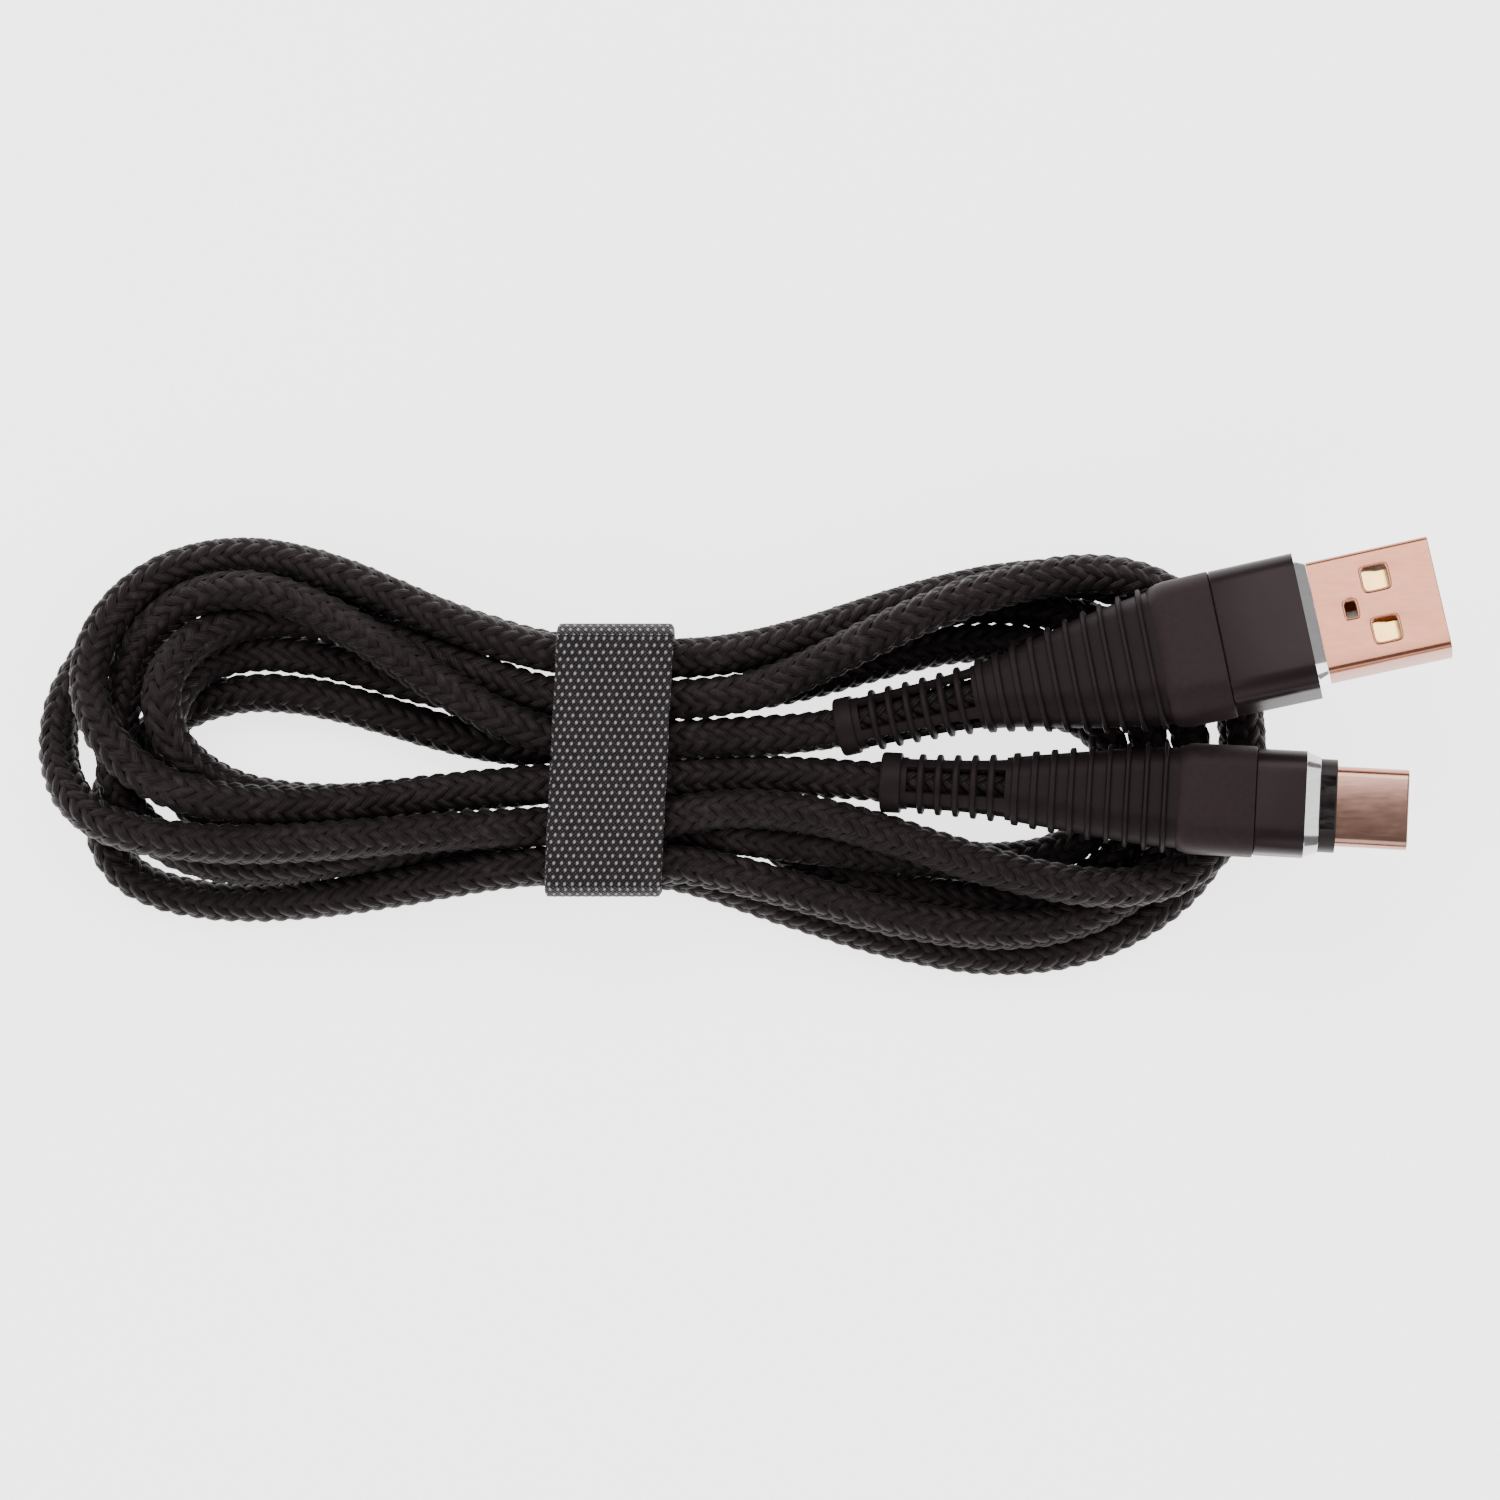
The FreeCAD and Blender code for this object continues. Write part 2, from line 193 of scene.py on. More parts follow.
def mat_yarn():
    """Bundles of fine filaments: streaks along each bundle (v), several across it (u)."""
    m = Nodes("yarn", (0.008, 0.006, 0.006), 0.5)
    m.b.inputs["Specular IOR Level"].default_value = 0.18
    m.b.inputs["Specular Tint"].default_value = (1.0, 0.80, 0.80, 1.0)
    m.b.inputs["Sheen Weight"].default_value = 0.03
    m.b.inputs["Sheen Roughness"].default_value = 0.4
    sep = m.n("ShaderNodeSeparateXYZ"); m.link(m.coords(True), sep.inputs[0])
    fil = m.math("SINE", m.math("MULTIPLY", sep.outputs["X"], 2 * math.pi * 5.0))
    fil = m.math("ADD", m.math("MULTIPLY", fil, 0.5), 0.5)
    nz = m.noise(1100.0, 3.0)
    big = m.noise(180.0, 2.0)
    c = m.ramp(m.math("ADD", m.math("MULTIPLY", nz, 0.65), m.math("MULTIPLY", big, 0.35)),
               [(0.30, (0.0030, 0.0022, 0.0022)), (0.52, (0.0085, 0.0062, 0.0062)), (0.66, (0.022, 0.017, 0.017)), (0.80, (0.060, 0.050, 0.049))])
    m.color(c)
    m.rough(nz, 0.36, 0.62)
    m.bump(m.math("ADD", m.math("MULTIPLY", fil, 0.7), m.math("MULTIPLY", nz, 0.5)), 0.00005, 0.9)
    return m.mat


def mat_core():
    m = Nodes("cord_core", (0.004, 0.003, 0.003), 0.8)
    m.b.inputs["Specular IOR Level"].default_value = 0.1
    nz = m.noise(1500.0)
    m.bump(nz, 0.00005)
    m.color(m.ramp(nz, [(0.3, (0.0015, 0.0012, 0.0012)), (0.7, (0.005, 0.004, 0.004))]))
    return m.mat


def mat_rubber(name, tone, grain):
    m = Nodes(name, tone, 0.55)
    m.b.inputs["Specular IOR Level"].default_value = 0.13
    m.b.inputs["Specular Tint"].default_value = (1.0, 0.80, 0.80, 1.0)
    nz = m.noise(grain, 4.0)
    fine = m.noise(grain * 4, 2.0)
    k = np.array(tone)
    m.color(m.ramp(nz, [(0.3, tuple(k * 0.86)), (0.7, tuple(k * 1.12))]))
    m.rough(nz, 0.46, 0.62)
    m.bump(fine, 0.000012, 0.6)
    return m.mat


def mat_anodised():
    m = Nodes("anodised_black", (0.018, 0.013, 0.015), 0.30, 0.0)
    m.b.inputs["Specular IOR Level"].default_value = 0.16
    m.b.inputs["Specular Tint"].default_value = (1.0, 0.80, 0.80, 1.0)
    nz = m.noise(5200.0, 2.0)
    broad = m.noise(160.0, 2.0)
    m.color(m.ramp(broad, [(0.3, (0.0115, 0.0075, 0.0085)), (0.7, (0.016, 0.0105, 0.0120))]))
    m.rough(nz, 0.26, 0.40)
    m.bump(nz, 0.000004, 0.6)
    return m.mat


def mat_plate(name, c0, c1, r0=0.12, r1=0.24):
    m = Nodes(name, c0, 0.18, 1.0)
    sep = m.n("ShaderNodeMapping"); m.link(m.coords(), sep.inputs[0])
    sep.inputs["Scale"].default_value = (1.0, 6.0, 6.0)
    nz = m.noise(350.0, 3.0, vec=sep.outputs[0])
    m.color(m.ramp(nz, [(0.3, c0), (0.7, c1)]))
    m.rough(nz, r0, r1)
    m.bump(m.noise(900.0, 2.0), 0.000004, 0.4)
    return m.mat


def mat_plain(name, c, rough=0.45, metal=0.0, grain=700.0):
    m = Nodes(name, c, rough, metal)
    nz = m.noise(grain, 3.0)
    k = np.array(c)
    m.color(m.ramp(nz, [(0.3, tuple(k * 0.85)), (0.7, tuple(np.minimum(k * 1.12, 1)))]))
    m.rough(nz, max(rough - 0.08, 0.05), rough + 0.1)
    m.bump(nz, 0.00001, 0.4)
    return m.mat


def mat_weave():
    """Woven tape: dark ground with pale thread dots in a staggered grid. UV is in mm."""
    m = Nodes("tie_weave", (0.05, 0.05, 0.055), 0.62)
    m.b.inputs["Specular IOR Level"].default_value = 0.15
    m.b.inputs["Sheen Weight"].default_value = 0.06
    sep = m.n("ShaderNodeSeparateXYZ"); m.link(m.coords(True), sep.inputs[0])
    u, v = sep.outputs["X"], sep.outputs["Y"]
    PU, PV = 0.80, 0.72

    def cell(shift):
        a = m.math("FRACT", m.math("ADD", m.math("DIVIDE", u, PU), shift))
        b = m.math("FRACT", m.math("ADD", m.math("DIVIDE", v, 2 * PV), shift))
        a = m.math("MULTIPLY", m.math("SUBTRACT", a, 0.5), PU)
        b = m.math("MULTIPLY", m.math("SUBTRACT", b, 0.5), 2 * PV * 0.80)
        d = m.math("SQRT", m.math("ADD", m.math("MULTIPLY", a, a), m.math("MULTIPLY", b, b)))
        nd = m.n("ShaderNodeMapRange")
        nd.inputs["From Min"].default_value = 0.10
        nd.inputs["From Max"].default_value = 0.19
        nd.inputs["To Min"].default_value = 1.0
        nd.inputs["To Max"].default_value = 0.0
        m.link(d, nd.inputs["Value"])
        return nd.outputs["Result"]
    dots = m.math("MAXIMUM", cell(0.0), cell(0.5))
    # fine warp and weft: the relief for the bump, also painted into the ground colour as painted shade between the
    # threads and painted highlight on their tops
    warp = m.math("SINE", m.math("MULTIPLY", u, 2 * math.pi / 0.40))
    weft = m.math("SINE", m.math("MULTIPLY", v, 2 * math.pi / 0.36))
    wv = m.math("ADD", m.math("MULTIPLY", m.math("MULTIPLY", warp, weft), 0.5), 0.5)
    nz = m.noise(1400.0, 3.0)
    # ground tone: random tone from the noise, plus painted shade in the weave's gaps and painted highlight on thread
    # tops from the warp and weft
    ground_weave_shade = m.ramp(m.math("ADD", m.math("MULTIPLY", wv, 0.55), m.math("MULTIPLY", nz, 0.45)),
                    [(0.25, (0.005, 0.0038, 0.0042)), (0.55, (0.016, 0.0130, 0.0138)), (0.85, (0.070, 0.062, 0.064))])
    mx = m.n("ShaderNodeMix"); mx.data_type = "RGBA"
    m.link(dots, mx.inputs["Factor"])
    m.link(ground_weave_shade, mx.inputs[6])
    mx.inputs[7].default_value = (0.34, 0.30, 0.31, 1)
    m.color(mx.outputs[2])
    m.bump(m.math("ADD", wv, m.math("MULTIPLY", dots, 0.9)), 0.00012, 1.0)
    return m.mat


YARN, CORE = mat_yarn(), mat_core()
RUBBER = mat_rubber("boot_rubber", (0.0120, 0.0085, 0.0092), 900.0)
COLLAR = mat_rubber("collar_matte", (0.0205, 0.0135, 0.0145), 1400.0)
ANOD = mat_anodised()
CHAMFER = mat_plate("cut_chamfer", (0.90, 0.90, 0.92), (0.97, 0.97, 0.98), 0.08, 0.16)
# a darker copy of the cut-chamfer metal for the USB-C housing: painted shade on the same cut metal as the USB-A chamfer
CHAMFER_C_SHADED = mat_plate("cut_chamfer_c_painted_shade", (0.42, 0.40, 0.41), (0.50, 0.48, 0.49), 0.10, 0.20)
PLATE_A = mat_plate("usb_a_plating", (0.38, 0.155, 0.10), (0.43, 0.185, 0.125), 0.16, 0.28)
PLATE_C = mat_plate("nickel_plating", (0.36, 0.20, 0.155), (0.42, 0.24, 0.185), 0.14, 0.26)
GOLD = mat_plate("gold_springs", (0.95, 0.55, 0.18), (1.0, 0.70, 0.30), 0.15, 0.3)
STEEL = mat_plate("crimp_steel", (0.55, 0.55, 0.56), (0.66, 0.66, 0.67), 0.2, 0.35)
INS_W = mat_plain("insulator_white", (0.83, 0.80, 0.72), 0.4)
INS_K = mat_plain("insulator_black", (0.022, 0.0165, 0.0165), 0.45)
INS_K.node_tree.nodes["Principled BSDF"].inputs["Specular IOR Level"].default_value = 0.2
WIRE = mat_plain("wire_insulation", (0.45, 0.06, 0.05), 0.4)
BOARD = mat_plain("board_green", (0.03, 0.18, 0.08), 0.35)
WEAVE = mat_weave()

# ---------------------------------------------------------------- the cord
ROUTE = [
    (11.63, 2.80, 8.00), (9.25, 2.29, 7.60), (5.22, 1.78, 7.19), (0.18, 1.47, 7.00), (-5.11, 1.23, 7.07), (-10.08, 0.96, 7.33),
    (-14.40, 0.90, 7.58), (-18.30, 1.06, 7.81), (-21.99, 1.77, 8.01), (-26.28, 3.38, 8.12), (-31.14, 6.08, 8.07), (-36.30, 9.42, 7.97),
    (-41.58, 12.82, 7.90), (-46.90, 15.54, 7.89), (-52.11, 16.86, 7.80), (-56.86, 16.41, 7.36), (-60.68, 14.39, 6.55), (-63.34, 11.71, 5.71),
    (-64.86, 8.92, 5.20), (-65.52, 6.06, 5.17), (-65.92, 3.11, 5.55), (-66.31, 0.06, 6.10), (-66.28, -3.05, 6.14), (-65.11, -6.27, 5.50),
    (-62.23, -9.39, 5.12), (-57.78, -11.51, 5.22), (-52.54, -12.21, 5.69), (-47.11, -11.90, 6.19), (-41.74, -11.07, 6.25), (-36.48, -10.12, 5.74),
    (-31.42, -9.31, 4.92), (-26.70, -8.67, 4.07), (-22.50, -8.13, 3.45), (-18.61, -7.76, 3.24), (-14.58, -7.74, 3.45), (-10.37, -7.97, 4.10),
    (-5.85, -8.39, 5.14), (-0.80, -9.02, 6.09), (4.66, -9.72, 6.20), (10.21, -10.38, 5.42), (15.81, -10.98, 4.33), (21.52, -11.62, 3.31),
    (27.35, -11.83, 2.56), (32.80, -10.87, 2.18), (36.81, -8.08, 2.10), (38.64, -3.86, 2.10), (38.29, 0.44, 2.10), (35.53, 3.41, 2.10),
    (30.92, 4.63, 2.10), (25.60, 4.64, 2.10), (20.20, 4.09, 2.10), (14.79, 3.23, 2.10), (9.40, 2.30, 2.10), (4.09, 1.53, 2.10),
    (-1.07, 1.05, 2.30), (-5.94, 0.88, 2.73), (-10.40, 0.91, 3.20), (-14.57, 1.02, 3.34), (-18.49, 0.87, 3.20), (-22.21, 0.32, 2.73),
    (-26.58, 0.51, 2.30), (-31.62, 1.59, 2.10), (-36.97, 3.17, 2.10), (-42.38, 4.76, 2.10), (-47.64, 5.88, 2.10), (-52.51, 6.12, 2.10),
    (-56.73, 5.42, 2.10), (-60.65, 3.80, 2.10), (-64.17, 1.06, 2.10), (-66.82, -2.53, 2.10), (-68.23, -6.38, 2.10), (-68.05, -9.98, 2.10),
    (-66.28, -12.80, 2.10), (-63.06, -14.70, 2.10), (-58.40, -15.83, 2.17), (-53.03, -16.17, 2.58), (-47.49, -15.90, 3.39), (-41.97, -15.24, 4.49),
    (-36.52, -14.37, 5.55), (-31.19, -13.37, 6.23), (-26.20, -12.53, 6.67), (-21.85, -12.07, 7.05), (-18.15, -11.96, 7.40), (-14.28, -12.00, 7.56),
    (-10.53, -11.95, 7.54), (-7.33, -11.79, 7.36), (-3.99, -12.40, 7.00), (0.15, -13.42, 6.45), (5.07, -14.79, 5.94), (10.34, -16.34, 5.61),
    (15.68, -17.63, 5.42), (21.00, -18.57, 5.26), (26.32, -18.98, 5.14), (31.61, -18.51, 5.04), (36.63, -16.95, 4.84), (40.94, -14.30, 4.44),
    (44.27, -10.68, 3.90), (46.33, -6.36, 3.22), (46.94, -1.61, 2.60), (46.21, 3.13, 2.21), (44.26, 7.42, 2.10), (41.14, 10.93, 2.10),
    (36.94, 13.43, 2.10), (31.95, 14.86, 2.10), (26.59, 15.46, 2.10), (21.15, 15.27, 2.10), (15.76, 14.32, 2.10), (10.41, 12.86, 2.10),
    (5.07, 11.38, 2.10), (-0.23, 10.27, 2.30), (-5.39, 9.69, 2.72), (-10.24, 9.60, 3.20), (-14.59, 9.75, 3.33), (-18.67, 10.04, 3.20),
    (-22.67, 10.76, 2.73), (-27.01, 11.99, 2.30), (-31.81, 13.64, 2.10), (-36.91, 15.45, 2.10), (-42.12, 16.96, 2.10), (-47.17, 17.86, 2.10),
    (-51.86, 18.07, 2.10), (-56.35, 17.51, 2.10), (-60.76, 16.18, 2.10), (-64.86, 14.12, 2.10), (-68.30, 11.47, 2.10), (-70.84, 8.42, 2.10),
    (-72.36, 5.25, 2.30), (-72.92, 2.04, 2.98), (-72.63, -1.06, 4.22), (-71.49, -3.86, 5.91), (-69.46, -6.16, 7.71), (-66.37, -7.90, 9.11),
    (-62.06, -9.00, 9.73), (-57.01, -9.59, 9.92), (-51.73, -9.76, 9.97), (-46.45, -9.57, 10.00), (-41.21, -9.20, 9.97), (-36.01, -8.79, 9.65),
    (-30.94, -8.45, 9.00), (-26.20, -8.18, 8.28), (-22.07, -7.96, 7.80), (-18.35, -7.76, 7.72), (-14.39, -7.70, 7.96), (-10.09, -7.35, 8.42),
    (-5.25, -6.31, 8.85), (-0.09, -5.95, 8.95), (5.16, -6.45, 8.83), (10.40, -7.62, 8.61), (15.60, -9.19, 8.29), (20.78, -10.86, 8.03),
    (25.98, -12.44, 8.02), (31.23, -13.72, 8.26), (36.51, -14.39, 8.55), (41.62, -14.05, 8.51), (46.08, -12.32, 7.90), (49.33, -9.14, 7.15),
    (51.25, -4.89, 6.58), (51.95, -0.19, 6.30), (51.58, 4.54, 6.25), (50.05, 9.14, 6.24), (47.35, 13.27, 6.29), (43.78, 16.32, 6.57),
    (39.74, 17.96, 7.22), (35.45, 18.39, 8.15), (30.88, 17.89, 9.12), (25.90, 16.77, 9.84), (20.72, 15.14, 10.11), (15.53, 13.05, 9.95),
    (10.44, 10.56, 9.43), (5.54, 8.10, 8.72), (0.84, 6.23, 8.13), (-4.18, 5.32, 7.80), (-9.72, 5.15, 7.71), (-14.38, 5.23, 7.65),
    (-18.41, 5.37, 7.39), (-22.16, 5.85, 6.69), (-26.40, 7.34, 5.72), (-31.37, 9.36, 4.72), (-36.74, 11.39, 3.95), (-42.20, 13.07, 3.62),
    (-47.46, 14.04, 3.86), (-52.22, 13.82, 4.81), (-56.07, 12.47, 6.43), (-58.91, 10.41, 8.26), (-60.49, 7.68, 9.67), (-60.84, 4.64, 10.30),
    (-60.16, 1.65, 9.91), (-58.62, -0.95, 8.31), (-56.20, -3.11, 6.19), (-52.59, -4.71, 4.33), (-47.81, -5.52, 3.01), (-42.51, -5.61, 2.30),
    (-37.08, -5.25, 2.10), (-31.80, -4.72, 2.10), (-26.91, -4.20, 2.26), (-22.56, -3.77, 2.68), (-18.57, -3.37, 3.20), (-14.50, -3.26, 3.35),
    (-10.38, -3.60, 3.20), (-6.39, -4.75, 2.52), (-2.56, -6.73, 2.10), (1.26, -9.10, 2.10), (5.51, -11.36, 2.10), (10.43, -13.22, 2.10),
    (15.73, -14.66, 2.10), (21.18, -15.61, 2.10), (26.65, -15.97, 2.10), (31.95, -15.36, 2.10), (36.61, -13.42, 2.10), (40.14, -10.26, 2.10),
    (42.27, -6.18, 2.10), (42.81, -1.59, 2.10), (41.78, 2.89, 2.10), (39.35, 6.67, 2.10), (35.67, 9.35, 2.10), (31.25, 10.83, 2.10),
    (26.76, 11.35, 2.10), (22.68, 11.29, 2.10), (18.85, 10.75, 2.10), (14.57, 9.70, 2.10), (9.65, 8.30, 2.10), (4.43, 6.95, 2.10),
    (-0.77, 5.96, 2.30), (-5.72, 5.46, 2.72), (-10.32, 5.31, 3.20), (-14.56, 5.39, 3.39), (-18.57, 5.34, 3.20), (-22.45, 5.09, 2.46),
    (-26.79, 5.25, 2.10), (-31.75, 6.11, 2.10), (-37.05, 7.55, 2.10), (-42.43, 9.10, 2.10), (-47.62, 10.21, 2.10), (-52.21, 10.42, 2.38),
    (-55.85, 9.72, 3.30), (-58.47, 8.23, 4.74), (-60.24, 5.83, 5.94), (-61.19, 2.58, 6.01), (-61.18, -1.07, 4.99), (-59.86, -4.59, 3.79),
    (-57.15, -7.44, 2.82), (-53.08, -9.42, 2.26), (-48.01, -10.69, 2.10), (-42.54, -11.54, 2.10), (-37.04, -12.10, 2.10), (-31.75, -12.44, 2.10),
    (-26.87, -12.49, 2.26), (-22.52, -12.32, 2.69), (-18.52, -12.15, 3.20), (-14.48, -12.16, 3.35), (-10.64, -12.38, 3.20), (-7.32, -12.93, 2.73),
    (-3.77, -13.97, 2.30), (0.62, -15.49, 2.10), (5.66, -17.22, 2.10), (10.94, -18.91, 2.10), (16.21, -20.35, 2.10), (21.39, -21.40, 2.10),
    (26.58, -21.86, 2.10), (31.97, -21.48, 2.10), (37.49, -19.96, 2.10), (42.75, -17.17, 2.10), (47.04, -13.22, 2.10), (49.93, -8.40, 2.10),
    (51.45, -3.32, 2.10), (51.72, 1.70, 2.10), (50.77, 6.47, 2.10), (48.60, 10.73, 2.10), (45.33, 14.14, 2.24), (41.13, 16.49, 2.77),
    (36.38, 17.79, 3.67), (31.54, 18.11, 4.74), (26.58, 17.64, 5.60), (21.49, 16.65, 6.06), (16.37, 15.28, 6.20), (11.20, 13.62, 6.21),
    (5.96, 11.90, 6.26), (0.67, 10.53, 6.48), (-4.65, 9.72, 6.90), (-9.92, 9.50, 7.35), (-14.37, 9.59, 7.53), (-18.27, 9.77, 7.40),
    (-22.02, 10.30, 7.06), (-26.74, 11.65, 6.70), (-32.00, 13.65, 6.43), (-37.30, 15.96, 6.28), (-42.45, 18.11, 6.16), (-47.49, 19.65, 5.90),
    (-52.51, 20.35, 5.54), (-57.50, 19.93, 5.33), (-62.24, 18.16, 5.48), (-66.06, 15.06, 6.01), (-68.26, 11.21, 6.90), (-68.79, 7.29, 8.10),
    (-67.84, 3.56, 9.39), (-65.73, 0.22, 10.35), (-62.65, -2.57, 10.76), (-58.60, -4.58, 10.49), (-53.39, -5.57, 9.45), (-47.41, -5.84, 8.15),
    (-41.72, -5.58, 7.04), (-36.33, -5.00, 6.39), (-31.13, -4.39, 6.25), (-26.21, -3.92, 6.51), (-21.91, -3.56, 6.99), (-18.25, -3.33, 7.42),
    (-14.39, -3.33, 7.55), (-10.30, -3.27, 7.27), (-5.91, -2.86, 6.70), (-0.92, -2.63, 6.42), (4.38, -2.71, 6.64), (9.51, -3.01, 7.27),
    (13.70, -3.32, 8.00), (16.18, -3.42, 8.35),
]
ROUTE = (np.array(ROUTE) + SHIFT) * MM
CORD_D = 0.0042
LEAD = 0.0142


def nurbs(name, pts):
    cu = bpy.data.curves.new(name, "CURVE")
    cu.dimensions = "3D"
    sp = cu.splines.new("NURBS")
    sp.points.add(len(pts) - 1)
    for p, co in zip(sp.points, pts):
        p.co = (*co, 1.0)
    sp.order_u = 3
    sp.use_endpoint_u = True
    sp.resolution_u = 8
    cu.resolution_u = 8
    ob = bpy.data.objects.new(name, cu)
    bpy.context.scene.collection.objects.link(ob)
    return ob


def read_line(ob):
    """The points that the smooth spline gives, with no bevel."""
    bpy.context.view_layer.update()
    dg = bpy.context.evaluated_depsgraph_get()
    me = bpy.data.meshes.new_from_object(ob.evaluated_get(dg))
    co = np.empty(len(me.vertices) * 3); me.vertices.foreach_get("co", co)
    bpy.data.meshes.remove(me)
    return co.reshape(-1, 3)


def resample(P, ds):
    d = np.linalg.norm(np.diff(P, axis=0), axis=1)
    keep = np.concatenate([[True], d > 1e-9]); P = P[keep]
    s = np.concatenate([[0], np.cumsum(np.linalg.norm(np.diff(P, axis=0), axis=1))])
    n = max(int(s[-1] / ds), 4)
    q = np.linspace(0, s[-1], n + 1)
    return np.stack([np.interp(q, s, P[:, k]) for k in range(3)], 1), q


def frames(P):
    T = np.gradient(P, axis=0); T /= np.linalg.norm(T, axis=1)[:, None]
    N = np.zeros_like(P)
    n = np.cross(T[0], (0, 0, 1.0)); n /= np.linalg.norm(n)
    for i in range(len(P)):
        n = n - T[i] * np.dot(n, T[i]); n /= np.linalg.norm(n)
        N[i] = n
    return T, N, np.cross(T, N)


def braid(name, line, steps=24, radius=CORD_D / 2):
    """Eight bundles each way, two over and two under, as real strands."""
    P, s = resample(line, LEAD / steps)
    T, N, B = frames(P)
    across = np.array((-1.0, -0.55, 0.0, 0.55, 1.0))
    rise = np.array((-0.20, 0.06, 0.15, 0.06, -0.20)) * MM
    half = 0.58 * MM
    out = []
    for d in (1, -1):
        rows = []
        uvs = []
        for k in range(8):
            ang = d * 2 * math.pi * s / LEAD + 2 * math.pi * k / 8
            phase = d * 16 * s / LEAD + 2 * k
            w = d * np.cos(2 * math.pi * (phase - 0.5) / 4)
            w = np.clip(w * 1.35, -1, 1)
            wob = 0.02 * np.sin(s / 0.0031 + k * 1.7 + d)
            r = radius - 0.33 * MM + (0.21 * w + wob) * MM
            radial = np.cos(ang)[:, None] * N + np.sin(ang)[:, None] * B
            C = P + radial * r[:, None]
            G = np.gradient(C, axis=0); G /= np.linalg.norm(G, axis=1)[:, None]
            side = np.cross(G, radial)
            hw = half * (1 + 0.10 * np.sin(s / 0.0047 + 2.1 * k))
            R = (C[:, None, :] + side[:, None, :] * (across[None, :, None] * hw[:, None, None])
                 + radial[:, None, :] * rise[None, :, None])
            rows.append(R)
            uv = np.zeros((len(s), 5, 2))
            uv[:, :, 0] = (across[None, :] + 1) / 2
            uv[:, :, 1] = s[:, None] / MM
            uvs.append(uv)
        objs = []
        n = len(s)
        V = np.concatenate([r.reshape(-1, 3) for r in rows])
        U = np.concatenate([u.reshape(-1, 2) for u in uvs])
        i = np.arange(n - 1)[:, None]; j = np.arange(4)[None, :]
        base = (i * 5 + j).reshape(-1)
        f = np.concatenate([np.stack([base, base + 1, base + 6, base + 5], 1) + q * n * 5 for q in range(8)])
        if d < 0:
            f = f[:, ::-1]
        f = f[:, ::-1] if True else f
        me_name = "%s_%s" % (name, "s" if d > 0 else "z")
        me = bpy.data.meshes.new(me_name)
        me.vertices.add(len(V)); me.vertices.foreach_set("co", V.astype(np.float32).ravel())
        me.loops.add(f.size); me.loops.foreach_set("vertex_index", f.astype(np.int32).ravel())
        me.polygons.add(len(f))
        me.polygons.foreach_set("loop_start", np.arange(0, f.size, 4, dtype=np.int32))
        me.polygons.foreach_set("loop_total", np.full(len(f), 4, dtype=np.int32))
        me.polygons.foreach_set("use_smooth", np.ones(len(f), dtype=bool))
        me.materials.append(YARN)
        lay = me.uv_layers.new(name="uv")
        lay.data.foreach_set("uv", U[f.ravel()].astype(np.float32).ravel())
        me.update(calc_edges=True)
        ob = bpy.data.objects.new(me_name, me)
        bpy.context.scene.collection.objects.link(ob)
        # normals must face out
        me.calc_loop_triangles()
        q = f[len(f) // 3]
        nrm = np.cross(V[q[1]] - V[q[0]], V[q[2]] - V[q[1]])
        st = (q[0] % (n * 5)) // 5
        if np.dot(nrm, V[q[0]] - P[st]) < 0:
            me.flip_normals()
        out.append(ob)
    return out


cord = nurbs("cord_core", ROUTE)
LINE = read_line(cord)
CORD_LEN = float(np.linalg.norm(np.diff(LINE, axis=0), axis=1).sum())
print("cord length", round(CORD_LEN, 4))
cord.data.bevel_depth = 0.00172
cord.data.bevel_resolution = 5
cord.data.use_fill_caps = True
cord.data.materials.append(CORE)
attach(cord, "hank")
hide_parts("cord_hank", "cord_a_lead", "cord_c_lead")
cord_braid = braid("cord_braid", LINE, 24)
for o in cord_braid:
    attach(o, "hank")

# ---------------------------------------------------------------- plug frames
A_TAIL, A_YAW, A_PITCH, A_ROLL = (9.25, 2.29, 7.6), 12.3, 10.0, -17.0
C_TAIL, C_YAW, C_PITCH, C_ROLL = (13.70, -3.32, 8.0), -3.0, 8.0, -10.0


def plug_matrix(tail, yaw, pitch, roll):
    r = math.radians
    return (Matrix.Translation(Vector(((tail[0] + SHIFT[0]) * MM, (tail[1] + SHIFT[1]) * MM, tail[2] * MM)))
            @ Matrix.Rotation(r(yaw), 4, "Z") @ Matrix.Rotation(r(-pitch), 4, "Y") @ Matrix.Rotation(r(roll), 4, "X"))


MA = plug_matrix(A_TAIL, A_YAW, A_PITCH, A_ROLL)
MC = plug_matrix(C_TAIL, C_YAW, C_PITCH, C_ROLL)


def world(M, pts):
    A = np.array(M)
    return (np.asarray(pts) * MM) @ A[:3, :3].T + A[:3, 3]


def section(w, h, r, n=96, zc=0.0):
    """Rounded rectangle, sampled by direction from its centre."""
    r = min(r, w / 2 - 1e-3, h / 2 - 1e-3)
    a, b = w / 2, h / 2
    th = 2 * math.pi * np.arange(n) / n
    # dense outline, then by angle
    out = []
    q = np.linspace(0, math.pi / 2, 24)
    for cx, cz, t0 in ((a - r, b - r, 0), (-a + r, b - r, 1), (-a + r, -b + r, 2), (a - r, -b + r, 3)):
        t = q + t0 * math.pi / 2
        out.append(np.stack([cx + r * np.cos(t), cz + r * np.sin(t)], 1))
    o = np.concatenate(out); o = np.concatenate([o, o[:1]])
    ang = np.unwrap(np.arctan2(o[:, 1], o[:, 0]))
    ang, ix = np.unique(ang, return_index=True)
    o = o[ix]
    base = ang[0]
    t2 = (th - base) % (2 * math.pi) + base
    # straight-line between outline points, done by position along the outline
    y = np.interp(t2, ang, o[:, 0], period=2 * math.pi)
    z = np.interp(t2, ang, o[:, 1], period=2 * math.pi)
    return y, z + zc


